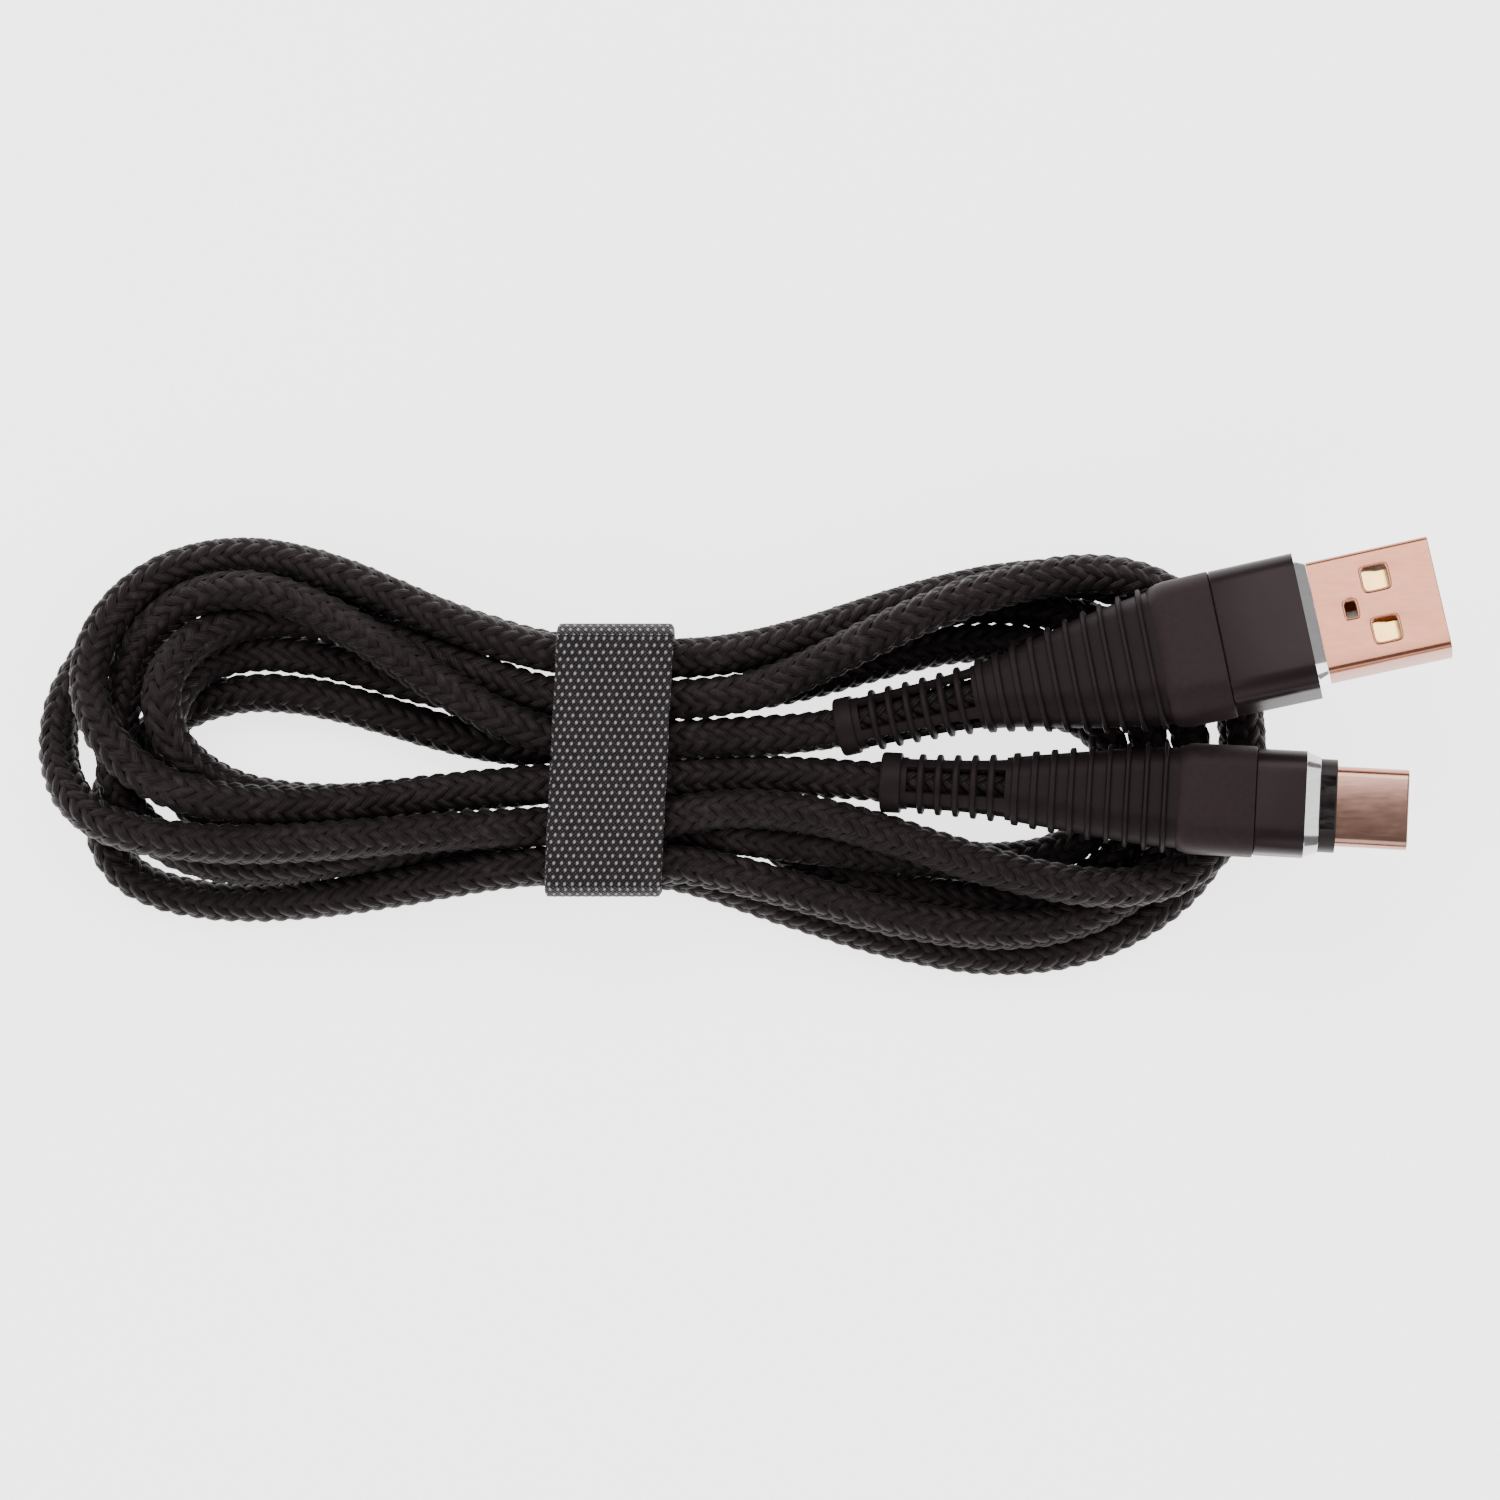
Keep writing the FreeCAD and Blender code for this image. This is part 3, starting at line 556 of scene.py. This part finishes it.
def outline_even(w, h, r, n=96, zc=0.0):
    """Rounded rectangle with corners well resolved."""
    r = min(r, w / 2 - 1e-3, h / 2 - 1e-3)
    a, b = w / 2, h / 2
    k = n // 8
    pts = []
    q = np.linspace(0, math.pi / 2, k + 1)
    for i, (cx, cz) in enumerate(((a - r, b - r), (-a + r, b - r), (-a + r, -b + r), (a - r, -b + r))):
        t = q + i * math.pi / 2
        pts += list(zip(cx + r * np.cos(t), cz + r * np.sin(t)))
        nx = ((-a + r, b - r), (-a + r, -b + r), (a - r, -b + r), (a - r, b - r))[i]
        e0 = np.array(pts[-1]); t1 = (i + 1) * math.pi / 2
        e1 = np.array((nx[0] + r * math.cos(t1), nx[1] + r * math.sin(t1)))
        for f in np.linspace(0, 1, k + 1)[1:-1]:
            pts.append(tuple(e0 + (e1 - e0) * f))
    p = np.array(pts)
    return p[:, 0], p[:, 1] + zc


def loft_obj(name, M, secs, mats, n=96, cap0=True, cap1=True, sharp=28, face_mat=None):
    """secs: list of (x, w, h, r) with optional zc; closed ends."""
    rows = []
    for s in secs:
        y, z = outline_even(s[1], s[2], s[3], n, s[4] if len(s) > 4 else 0.0)
        rows.append(np.stack([np.full_like(y, s[0]), y, z], 1))
    m = len(rows[0])
    V = world(M, np.concatenate(rows))
    faces, fm = [], []
    for i in range(len(rows) - 1):
        for j in range(m):
            a, b = i * m + j, i * m + (j + 1) % m
            faces.append((a, b, b + m, a + m)); fm.append(face_mat[i] if face_mat else 0)
    if cap0:
        faces.append(tuple(reversed(range(m)))); fm.append(0)
    if cap1:
        faces.append(tuple((len(rows) - 1) * m + j for j in range(m))); fm.append(face_mat[-1] if face_mat else 0)
    faces = [tuple(reversed(f)) for f in faces]
    ob = mesh_obj(name, V, faces, mats, sharp=sharp, face_mat=fm)
    fix_normals(ob)
    return ob


def fix_normals(ob):
    import bmesh
    bm = bmesh.new(); bm.from_mesh(ob.data)
    bmesh.ops.recalc_face_normals(bm, faces=bm.faces)
    bm.to_mesh(ob.data); bm.free()


def interp_secs(secs, x):
    xs = [s[0] for s in secs]
    return [float(np.interp(x, xs, [s[i] for s in secs])) for i in (1, 2, 3)]


def smooth_secs(secs, n=60):
    """Base sections smoothed along x with a Catmull-Rom style cubic."""
    xs = np.array([s[0] for s in secs], float)
    out = []
    for x in np.linspace(xs[0], xs[-1], n):
        row = [x]
        for i in (1, 2, 3):
            ys = np.array([s[i] for s in secs], float)
            m = np.gradient(ys, xs)
            k = min(max(np.searchsorted(xs, x) - 1, 0), len(xs) - 2)
            h = xs[k + 1] - xs[k]; t = (x - xs[k]) / h
            row.append((2 * t**3 - 3 * t**2 + 1) * ys[k] + (t**3 - 2 * t**2 + t) * h * m[k]
                       + (-2 * t**3 + 3 * t**2) * ys[k + 1] + (t**3 - t**2) * h * m[k + 1])
        out.append(tuple(row))
    return out


def boot(name, M, length, tail_d, tail_l, win_x, win_l, ribs, secs, proud, deg):
    secs = smooth_secs(secs)
    rows = []                                  # (x, extra height, window row?)
    rows.append((0.0, -0.30, 0)); rows.append((0.07, -0.05, 0)); rows.append((0.25, 0.0, 0))
    tail = (tail_d / 2)
    ring = []
    for i, x in enumerate(win_x):              # window, then a raised ring after it
        ring.append(("w", x, x + win_l, 0.0))
    for a, b in zip(win_x, win_x[1:]):
        ring.append(("r", a + win_l + 0.02, min(b - 0.02, a + win_l + 0.85), proud))
    for x, rl, pr in ribs:
        ring.append(("r", x, x + rl, pr))
    X = []                                     # stations: x, kind height factor
    X += [(0.0, "t", 0.0, 0), (0.10, "t", 0.7, 0), (0.30, "t", 1.0, 0), (tail_l - 0.25, "t", 1.0, 0),
          (tail_l - 0.06, "t", 0.75, 0), (tail_l, "b", 0.0, 0)]
    for kind, x0, x1, pr in sorted(ring, key=lambda q: q[1]):
        if kind == "w":
            X += [(x0, "w", 0.0, 0), (x1, "b", 0.0, 0)]
        else:
            X += [(x0 + 0.01, "b", 0.0, 0), (x0 + 0.05, "r", 0.72, pr), (x0 + 0.15, "r", 1.0, pr), (x1 - 0.15, "r", 1.0, pr),
                  (x1 - 0.05, "r", 0.72, pr), (x1, "b", 0.0, 0)]
    X += [(length - 0.01, "b", 0.0, 0)]
    X = sorted(X, key=lambda q: q[0])
    n = 96
    P = []
    for x, kind, f, pr in X:
        w, h, r = interp_secs(secs, x)
        if kind == "t":
            e = tail_d - 0.35 + 0.35 * f
            w, h, r = e, e, e / 2
        elif kind == "r":
            w, h, r = w + 2 * pr * f, h + 2 * pr * f, r + pr * f
        y, z = section(w, h, r, n)
        P.append(np.stack([np.full(n, x), y, z], 1))
    P = np.array(P)
    V = world(M, P.reshape(-1, 3))
    th = (np.arange(n) + 0.5) * 360 / n
    open_col = np.abs((th + 45) % 90 - 45) < deg
    faces = []
    for i in range(len(X) - 1):
        for j in range(n):
            if X[i][1] == "w" and open_col[j]:
                continue
            a, b = i * n + j, i * n + (j + 1) % n
            faces.append((a, a + n, b + n, b))
    ob = mesh_obj(name, V, faces, [RUBBER], smooth=True)
    fix_normals(ob)
    # outward check, then give the sleeve its wall
    me = ob.data
    p = me.polygons[len(me.polygons) // 2]
    c = Vector(world(M, [(P[len(P) // 2][0][0], 0, 0)])[0])
    if p.normal.dot(p.center - c) < 0:
        me.flip_normals()
    so = ob.modifiers.new("wall", "SOLIDIFY"); so.thickness = 0.55 * MM; so.offset = -1.0
    so.use_even_offset = False
    bpy.context.view_layer.update()
    dg = bpy.context.evaluated_depsgraph_get()
    new = bpy.data.meshes.new_from_object(ob.evaluated_get(dg))
    ob.modifiers.clear(); ob.data = new
    new.set_sharp_from_angle(angle=math.radians(38))
    return ob


# ================================================================ USB-A end
A_BOOT, A_COLLAR, A_HOUSING, A_CHAMFER, A_SHELL = 34.6, 5.8, 8.6, 1.1, 12.3
a0 = A_BOOT; a1 = a0 + A_COLLAR; a2 = a1 + A_HOUSING; a3 = a2 + A_CHAMFER; a4 = a3 + A_SHELL
a_secs = [(0.0, 5.3, 5.28, 2.6), (14.7, 6.6, 6.1, 2.9), (19.5, 8.2, 6.4, 3.0),
          (24.5, 10.6, 6.9, 3.2), (29.8, 12.7, 7.4, 3.3), (A_BOOT, 13.8, 7.8, 3.3)]
a_rib = [(15.2, 0.85, 0.42), (17.1, 0.8, 0.45), (19.0, 0.75, 0.5), (20.95, 0.7, 0.52), (22.9, 0.65, 0.56),
         (24.85, 0.62, 0.58), (26.8, 0.6, 0.6), (28.6, 0.6, 0.6), (30.6, 0.6, 0.6), (32.7, 0.6, 0.6)]
a_boot = boot("usb_a_boot", MA, A_BOOT, 6.1, 1.9, [2.6 + 1.83 * i for i in range(7)], 1.15, a_rib, a_secs, 0.40, 33.0)
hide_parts("usb_a_strain_relief")
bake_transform(a_boot)

COL_W, COL_H, COL_R = 14.9, 8.4, 3.2
a_col = loft_obj("usb_a_collar_visual", MA, [
    (a0 - 0.9, COL_W - 2.2, COL_H - 1.6, COL_R - 0.6), (a0 - 0.72, COL_W - 1.25, COL_H - 0.9, COL_R - 0.2),
    (a0 - 0.3, COL_W - 0.55, COL_H - 0.40, COL_R), (a0 + 0.4, COL_W - 0.16, COL_H - 0.14, COL_R),
    (a0 + 1.2, COL_W, COL_H, COL_R), (a1 - 0.35, COL_W, COL_H, COL_R - 0.2), (a1 - 0.10, COL_W - 0.12, COL_H - 0.12, COL_R - 0.3),
    (a1 - 0.03, COL_W - 0.5, COL_H - 0.5, COL_R - 0.5)], [COLLAR])
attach(a_col, "usb_a_plug"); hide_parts("usb_a_collar")

HW, HH, HR = 14.5, 7.9, 2.2
a_h = loft_obj("usb_a_housing_visual", MA, [
    (a1 - 0.02, HW - 0.5, HH - 0.5, HR), (a1 + 0.03, HW - 0.10, HH - 0.10, HR), (a1 + 0.16, HW, HH, HR),
    (a2 - 0.02, HW, HH, HR), (a2 + 0.08, HW - 0.14, HH - 0.14, HR), (a3 - 0.06, HW - 1.18, HH - 1.18, HR - 0.5),
    (a3, HW - 1.34, HH - 1.34, HR - 0.6)], [ANOD, CHAMFER], face_mat=[0, 0, 0, 1, 1, 1])
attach(a_h, "usb_a_plug"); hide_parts("usb_a_housing")


def shell_grid(name, M, x0, x1, w, h, r, holes, mats, wall, n_around=120, split=None):
    """Thin plated tube; holes are (x0, x1, y0, y1, top) through one flat side or both."""
    xs = sorted(set([x0, x0 + (x1 - x0) * 0.5, x1 - 0.25, x1] + [v for q in holes for v in q[:2]]))
    a, b = w / 2, h / 2
    ys = sorted(set([-a + r, 0.0, a - r] + [v for q in holes for v in q[2:4]]))
    ring = [(y, b, "top") for y in ys[::-1]]
    q = np.linspace(math.pi / 2, math.pi * 1.5, 15)
    if b - r > 1e-3:
        q1 = np.linspace(math.pi / 2, math.pi, 8); q2 = np.linspace(math.pi, math.pi * 1.5, 8)
        ring += [(-a + r + r * math.cos(t), b - r + r * math.sin(t), "s") for t in q1[1:]]
        ring += [(-a + r + r * math.cos(t), -b + r + r * math.sin(t), "s") for t in q2[:-1]]
    else:
        ring += [(-a + r + r * math.cos(t), r * math.sin(t), "s") for t in q[1:-1]]
    ring += [(y, -b, "bot") for y in ys]
    if b - r > 1e-3:
        q1 = np.linspace(-math.pi / 2, 0, 8); q2 = np.linspace(0, math.pi / 2, 8)
        ring += [(a - r + r * math.cos(t), -b + r + r * math.sin(t), "s") for t in q1[1:]]
        ring += [(a - r + r * math.cos(t), b - r + r * math.sin(t), "s") for t in q2[:-1]]
    else:
        q = np.linspace(-math.pi / 2, math.pi / 2, 15)
        ring += [(a - r + r * math.cos(t), r * math.sin(t), "s") for t in q[1:-1]]
    n = len(ring)
    V = world(M, [(x, y, z) for x in xs for y, z, _ in ring])
    faces = []
    for i in range(len(xs) - 1):
        for j in range(n):
            k = (j + 1) % n
            xm = (xs[i] + xs[i + 1]) / 2; ym = (ring[j][0] + ring[k][0]) / 2
            kind = ring[j][2] if ring[j][2] == ring[k][2] else "s"
            if any(hx0 < xm < hx1 and hy0 < ym < hy1 and (kind == "top" or (kind == "bot" and both))
                   for hx0, hx1, hy0, hy1, both in holes):
                continue
            faces.append((i * n + j, i * n + k, (i + 1) * n + k, (i + 1) * n + j))
    ob = mesh_obj(name, V, faces, mats)
    fix_normals(ob)
    me = ob.data
    p = me.polygons[0]; c = Vector(world(M, [(x0, 0, 0)])[0])
    d = p.center - c
    if p.normal.dot(d) < 0:
        me.flip_normals()
    so = ob.modifiers.new("wall", "SOLIDIFY"); so.thickness = wall * MM; so.offset = -1.0
    be = ob.modifiers.new("edge", "BEVEL"); be.width = 0.09 * MM; be.segments = 2; be.limit_method = "ANGLE"
    be.angle_limit = math.radians(50)
    bpy.context.view_layer.update()
    dg = bpy.context.evaluated_depsgraph_get()
    new = bpy.data.meshes.new_from_object(ob.evaluated_get(dg))
    ob.modifiers.clear(); ob.data = new
    new.set_sharp_from_angle(angle=math.radians(32))
    return ob


sx0 = a2 - 3.6
holes = [(a4 - 7.1, a4 - 4.6, y - 1.25, y + 1.25, True) for y in (-2.75, 2.75)] + [(a3 + 2.9, a3 + 4.0, -0.85, 0.85, False)]
a_s = shell_grid("usb_a_shell_visual", MA, sx0, a4, 12.0, 4.5, 0.6, holes, [PLATE_A], 0.3)
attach(a_s, "usb_a_plug"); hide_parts("usb_a_shell")
# raised rims round the three openings
rims = []
for x0, x1, y0, y1 in [q[:4] for q in holes]:
    m = 0.26
    V, Fc = [], []
    prof = [(m, 0.0), (m * 0.55, 0.09), (0.0, 0.03), (0.0, -0.25)]
    cxy = ((x0 + x1) / 2, (y0 + y1) / 2)
    q = np.linspace(0, 2 * math.pi, 41)[:-1]
    for off, dz in prof:
        ex, ey = (x1 - x0) / 2 + off, (y1 - y0) / 2 + off
        for t in q:
            c, s_ = math.cos(t), math.sin(t)
            f = (abs(c) ** 6 + abs(s_) ** 6) ** (-1 / 6)
            V.append((cxy[0] + ex * c * f, cxy[1] + ey * s_ * f, 2.25 + dz))
    k = len(q)
    for i in range(len(prof) - 1):
        for j in range(k):
            Fc.append((i * k + j, i * k + (j + 1) % k, (i + 1) * k + (j + 1) % k, (i + 1) * k + j))
    rims.append((V, Fc))
V = [v for r in rims for v in r[0]]; Fc = []; o = 0
for v, f in rims:
    Fc += [tuple(i + o for i in q) for q in f]; o += len(v)
rim = mesh_obj("usb_a_window_rims", world(MA, V), Fc, [PLATE_A]); fix_normals(rim)
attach(rim, "usb_a_plug")
# the two spring tongues seen through the square openings
tv, tf = [], []
for y in (-2.75, 2.75):
    for x, z, hw in ((a4 - 8.2, 1.80, 1.15), (a4 - 6.6, 1.62, 1.1), (a4 - 5.6, 1.30, 0.95), (a4 - 4.8, 1.34, 0.9), (a4 - 4.2, 1.62, 0.85)):
        for dz in (0.0, -0.16):
            tv += [(x, y - hw, z + dz), (x, y + hw, z + dz)]
    o = len(tv) - 20
    for i in range(4):
        a, b = o + 4 * i, o + 4 * i + 4
        tf += [(a, a + 1, b + 1, b), (a + 2, b + 2, b + 3, a + 3), (a, b, b + 2, a + 2), (a + 1, a + 3, b + 3, b + 1)]
    tf += [(o, o + 2, o + 3, o + 1), (o + 16, o + 17, o + 19, o + 18)]
tong = mesh_obj("usb_a_spring_tongues", world(MA, tv), tf, [GOLD]); fix_normals(tong)
tong.data.set_sharp_from_angle(angle=math.radians(30))
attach(tong, "usb_a_plug")

# ================================================================ USB-C end
C_BOOT, C_COLLAR, C_HOUSING, C_CHAMFER, C_NOSE, C_SHELL = 31.0, 7.3, 5.0, 1.4, 1.7, 7.2
c0 = C_BOOT; c1 = c0 + C_COLLAR; c2 = c1 + C_HOUSING; c3 = c2 + C_CHAMFER; c4 = c3 + C_NOSE; c5 = c4 + C_SHELL
c_secs = [(0.0, 5.3, 5.28, 2.6), (11.6, 6.2, 5.5, 2.7), (16.0, 7.3, 5.6, 2.7),
          (21.0, 8.6, 5.7, 2.8), (26.0, 9.8, 5.9, 2.8), (C_BOOT, 10.4, 6.0, 2.8)]
c_rib = [(13.5 + 1.92 * i, (0.8, 0.8, 0.75, 0.7, 0.62, 0.58, 0.55, 0.55, 0.55)[i], 0.38 + 0.03 * i) for i in range(9)]
c_boot = boot("usb_c_boot", MC, C_BOOT, 6.3, 2.1, [2.7 + 1.82 * i for i in range(6)], 1.1, c_rib, c_secs, 0.38, 31.0)
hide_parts("usb_c_strain_relief")
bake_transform(c_boot)
KW, KH, KR = 11.3, 6.6, 2.8
c_col = loft_obj("usb_c_collar_visual", MC, [
    (c0 - 0.8, KW - 2.0, KH - 1.4, KR - 0.5), (c0 - 0.6, KW - 1.1, KH - 0.8, KR - 0.2),
    (c0 - 0.25, KW - 0.5, KH - 0.36, KR), (c0 + 0.4, KW - 0.14, KH - 0.12, KR),
    (c0 + 1.1, KW, KH, KR), (c1 - 0.3, KW, KH, KR - 0.1), (c1 - 0.08, KW - 0.12, KH - 0.12, KR - 0.2),
    (c1 - 0.03, KW - 0.45, KH - 0.45, KR - 0.4)], [COLLAR])
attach(c_col, "usb_c_plug"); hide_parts("usb_c_collar")
CW, CH, CR = 10.8, 6.0, 2.3
c_h = loft_obj("usb_c_housing_visual", MC, [
    (c1 - 0.02, CW - 0.4, CH - 0.4, CR), (c1 + 0.03, CW - 0.08, CH - 0.08, CR), (c1 + 0.14, CW, CH, CR),
    (c2 - 0.02, CW, CH, CR), (c2 + 0.06, CW - 0.12, CH - 0.12, CR), (c3 - 0.05, CW - 1.12, CH - 1.12, CR - 0.5),
    (c3, CW - 1.24, CH - 1.24, CR - 0.6)], [ANOD, CHAMFER_C_SHADED], face_mat=[0, 0, 0, 1, 1, 1])
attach(c_h, "usb_c_plug"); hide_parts("usb_c_housing")
c_n = loft_obj("usb_c_nose", MC, [
    (c3 - 0.02, 9.3, 4.25, 1.9), (c3 + 0.12, 9.5, 4.4, 1.98), (c4 - 0.15, 9.5, 4.4, 1.98), (c4 - 0.03, 9.36, 4.26, 1.9),
    (c4, 9.1, 4.0, 1.8)], [INS_K])
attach(c_n, "usb_c_plug")
c_s = shell_grid("usb_c_shell_visual", MC, c1 + 1.2, c5, 8.25, 2.4, 1.2, [], [PLATE_C], 0.2)
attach(c_s, "usb_c_plug"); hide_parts("usb_c_shell")

# the jacketed cord inside each boot, seen through its windows
for nm, M, L1, body, node in (("usb_a_inner_cord", MA, 35.0, "usb_a_plug", "usb_a_cable_end"),
                              ("usb_c_inner_cord", MC, 31.8, "usb_c_plug", "usb_c_cable_end")):
    line = world(M, [(x, 0, 0) for x in np.linspace(0.0, L1, 60)])
    strands = braid(nm, line, 16, 2.05 * MM)
    rod = []
    xs = np.linspace(0.0, L1, 50)
    th = 2 * math.pi * np.arange(24) / 24
    Pm = np.stack([np.stack([np.full(24, x), 1.66 * np.cos(th), 1.66 * np.sin(th)], 1) for x in xs])
    core = grid_mesh(nm + "_core", world(M, Pm.reshape(-1, 3)).reshape(Pm.shape), [CORE], close_u=True)
    for k, o in enumerate(strands + [core]):
        if k == 0:
            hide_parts(node)
        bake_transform(o)

# ================================================================ tie
TX0, TX1, TY0, TY1, TZ, TT = -20.6, -8.6, -15.25, 13.15, 10.8, 1.05


def tape(name, path, thick, mats, x0, x1, vshift=0.0, seed=0):
    """A strip of tape along a path in the YZ plane (mm), width along X, with edges a little uneven."""
    path = np.array(path, float)
    seg = np.linalg.norm(np.diff(path, axis=0), axis=1)
    s = np.concatenate([[0], np.cumsum(seg)])
    n = int(s[-1] / 0.16)
    q = np.linspace(0, s[-1], n + 1)
    y = np.interp(q, s, path[:, 0]); z = np.interp(q, s, path[:, 1])
    ty, tz = np.gradient(y), np.gradient(z); l = np.hypot(ty, tz); ty /= l; tz /= l
    ny, nz = -tz, ty
    us = np.linspace(0, 1, 76)
    prof = np.concatenate([[0], np.clip(np.sin(np.pi * us) * 9, 0, 1), [0]])
    rng = np.random.RandomState(seed)
    wob0 = np.interp(q, np.linspace(0, s[-1], 40), rng.uniform(-0.05, 0.05, 40))
    wob1 = np.interp(q, np.linspace(0, s[-1], 40), rng.uniform(-0.05, 0.05, 40))
    rows, uv = [], []
    for i in range(n + 1):
        lean = 0.050 * (y[i] + 1.05)
        X = (x0 + wob0[i]) + (x1 + wob1[i] - x0 - wob0[i]) * us
        lift = 0.035 * np.cos(2 * math.pi * X / 0.8) * np.cos(2 * math.pi * q[i] / 1.44)
        out = thick / 2 * np.clip(np.sin(np.pi * us) * 12 + 0.35, 0, 1) + lift
        top = np.stack([X + lean, y[i] + ny[i] * out, z[i] + nz[i] * out], 1)
        bot = np.stack([X[::-1] + lean, y[i] - ny[i] * thick / 2 * np.ones_like(X), z[i] - nz[i] * thick / 2 * np.ones_like(X)], 1)
        rows.append(np.concatenate([top, bot]))
        u = np.concatenate([X, X[::-1]])
        uv.append(np.stack([u, np.full_like(u, q[i] + vshift)], 1))
    P = (np.array(rows) + SHIFT) * MM
    ob = grid_mesh(name, P, mats, np.array(uv), close_u=True)
    # close both ends
    import bmesh
    bm = bmesh.new(); bm.from_mesh(ob.data)
    bm.verts.ensure_lookup_table()
    m = P.shape[1]; k = len(us)
    lay = bm.loops.layers.uv.active
    for r in (0, n):
        for j in range(k - 1):
            try:
                f = bm.faces.new([bm.verts[r * m + j], bm.verts[r * m + j + 1], bm.verts[r * m + (m - 2 - j)], bm.verts[r * m + (m - 1 - j)]])
                f.smooth = False
                for lp in f.loops:
                    ii = lp.vert.index
                    lp[lay].uv = np.array(uv).reshape(-1, 2)[ii]
            except ValueError:
                pass
    bmesh.ops.recalc_face_normals(bm, faces=bm.faces)
    bm.to_mesh(ob.data); bm.free()
    ob.data.set_sharp_from_angle(angle=math.radians(50))
    return ob


def rounded(y0, y1, z0, z1, r, start="top", gap=0.0):
    """Closed rounded rectangle path, from the middle of the top, counter-clockwise."""
    pts = []
    for cx, cz, t0 in ((y0 + r, z1 - r, 90), (y0 + r, z0 + r, 180), (y1 - r, z0 + r, 270), (y1 - r, z1 - r, 0)):
        for t in np.linspace(t0, t0 + 90, 9):
            pts.append((cx + r * math.cos(math.radians(t)), cz + r * math.sin(math.radians(t))))
    return pts


cy = (TY0 + TY1) / 2
loop = rounded(TY0 + TT / 2, TY1 - TT / 2, TT / 2, TZ - TT / 2, 2.6)
loop = [(cy, TZ - TT / 2)] + loop + [(cy + 0.4, TZ - TT / 2)]
loop = loop[::-1]
band = tape("tie_band_visual", loop, TT, [WEAVE], TX0, TX1, 0.0, 3)
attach(band, "hank"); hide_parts("tie_band")
# the outer layer lies over the top and is the end that peels
tz = TZ + 0.05 + 0.5
over = [(TY1 - 1.35, tz - 0.02), (TY1 - 3.0, tz)] + [(y, tz + 0.10 * math.sin((y - TY0) / 28.0 * math.pi)) for y in np.linspace(TY1 - 4.5, TY0 + 4.0, 16)] \
    + [(TY0 + 2.4, tz), (TY0 + 1.25, tz - 0.02)]
tail = tape("tie_tail_visual", over, 0.95, [WEAVE], TX0 + 0.25, TX1 + 0.1, 0.37, 5)
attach(tail, "tie_tail"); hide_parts("tie_tail")

# ================================================================ inner parts
CAD_MATS = {
    "usb_a_insulator": INS_W, "usb_a_power_contacts": GOLD, "usb_a_data_contacts": GOLD, "usb_a_crimp": STEEL,
    "usb_a_wires": WIRE, "usb_a_inner_mould": INS_K, "usb_c_insulator": INS_K, "usb_c_contacts_upper": GOLD,
    "usb_c_contacts_lower": GOLD, "usb_c_latch_springs": STEEL, "usb_c_crimp": STEEL, "usb_c_wires": WIRE,
    "usb_c_inner_mould": INS_K, "usb_c_rear_shell": STEEL, "usb_c_circuit_board": BOARD, "usb_c_pull_up_resistor": INS_K}
for node, mt in CAD_MATS.items():
    ob = bpy.data.objects.get(node)
    if ob is None:
        ob = frame["nodes"][node] if not isinstance(frame["nodes"], (list, tuple, set)) else None
    if ob is None or not hasattr(ob, "material_slots"):
        print("no object for", node); continue
    if not ob.material_slots:
        print("no slot on", node); continue
    for s in ob.material_slots:
        s.material = mt

# ---------------------------------------------------------------- floor and light
fl = mesh_obj("floor", [(-1.2, -1.2, -0.00005), (1.2, -1.2, -0.00005), (1.2, 1.2, -0.00005), (-1.2, 1.2, -0.00005)], [(0, 1, 2, 3)],
              [mat_plain("floor_white", (0.93, 0.93, 0.93), 0.8, 0.0, 2.0)], smooth=False)
fl.data.materials[0].node_tree.nodes["Principled BSDF"].inputs["Emission Color"].default_value = (1, 1, 1, 1)
fl.data.materials[0].node_tree.nodes["Principled BSDF"].inputs["Emission Strength"].default_value = 2.6


def area(name, loc, target, size, power, color=(1, 1, 1)):
    L = bpy.data.lights.new(name, "AREA"); L.shape = "RECTANGLE"; L.size, L.size_y = size; L.energy = power; L.color = color
    o = bpy.data.objects.new(name, L); bpy.context.scene.collection.objects.link(o)
    o.location = loc
    o.rotation_euler = (Vector(target) - Vector(loc)).to_track_quat("-Z", "Y").to_euler()
    return o


area("key", (-0.05, 0.34, 0.42), (0, 0, 0), (0.5, 0.3), 2.4)
area("left", (-0.45, 0.0, 0.30), (0, 0, 0), (0.3, 0.5), 1.2)
area("right", (0.45, 0.05, 0.30), (0, 0, 0), (0.3, 0.5), 1.2)
area("front", (0.0, -0.40, 0.30), (0, 0, 0), (0.5, 0.3), 0.9)
w = bpy.data.worlds.new("world"); bpy.context.scene.world = w; w.use_nodes = True
w.node_tree.nodes["Background"].inputs[0].default_value = (1, 1, 1, 1)
w.node_tree.nodes["Background"].inputs[1].default_value = 0.35
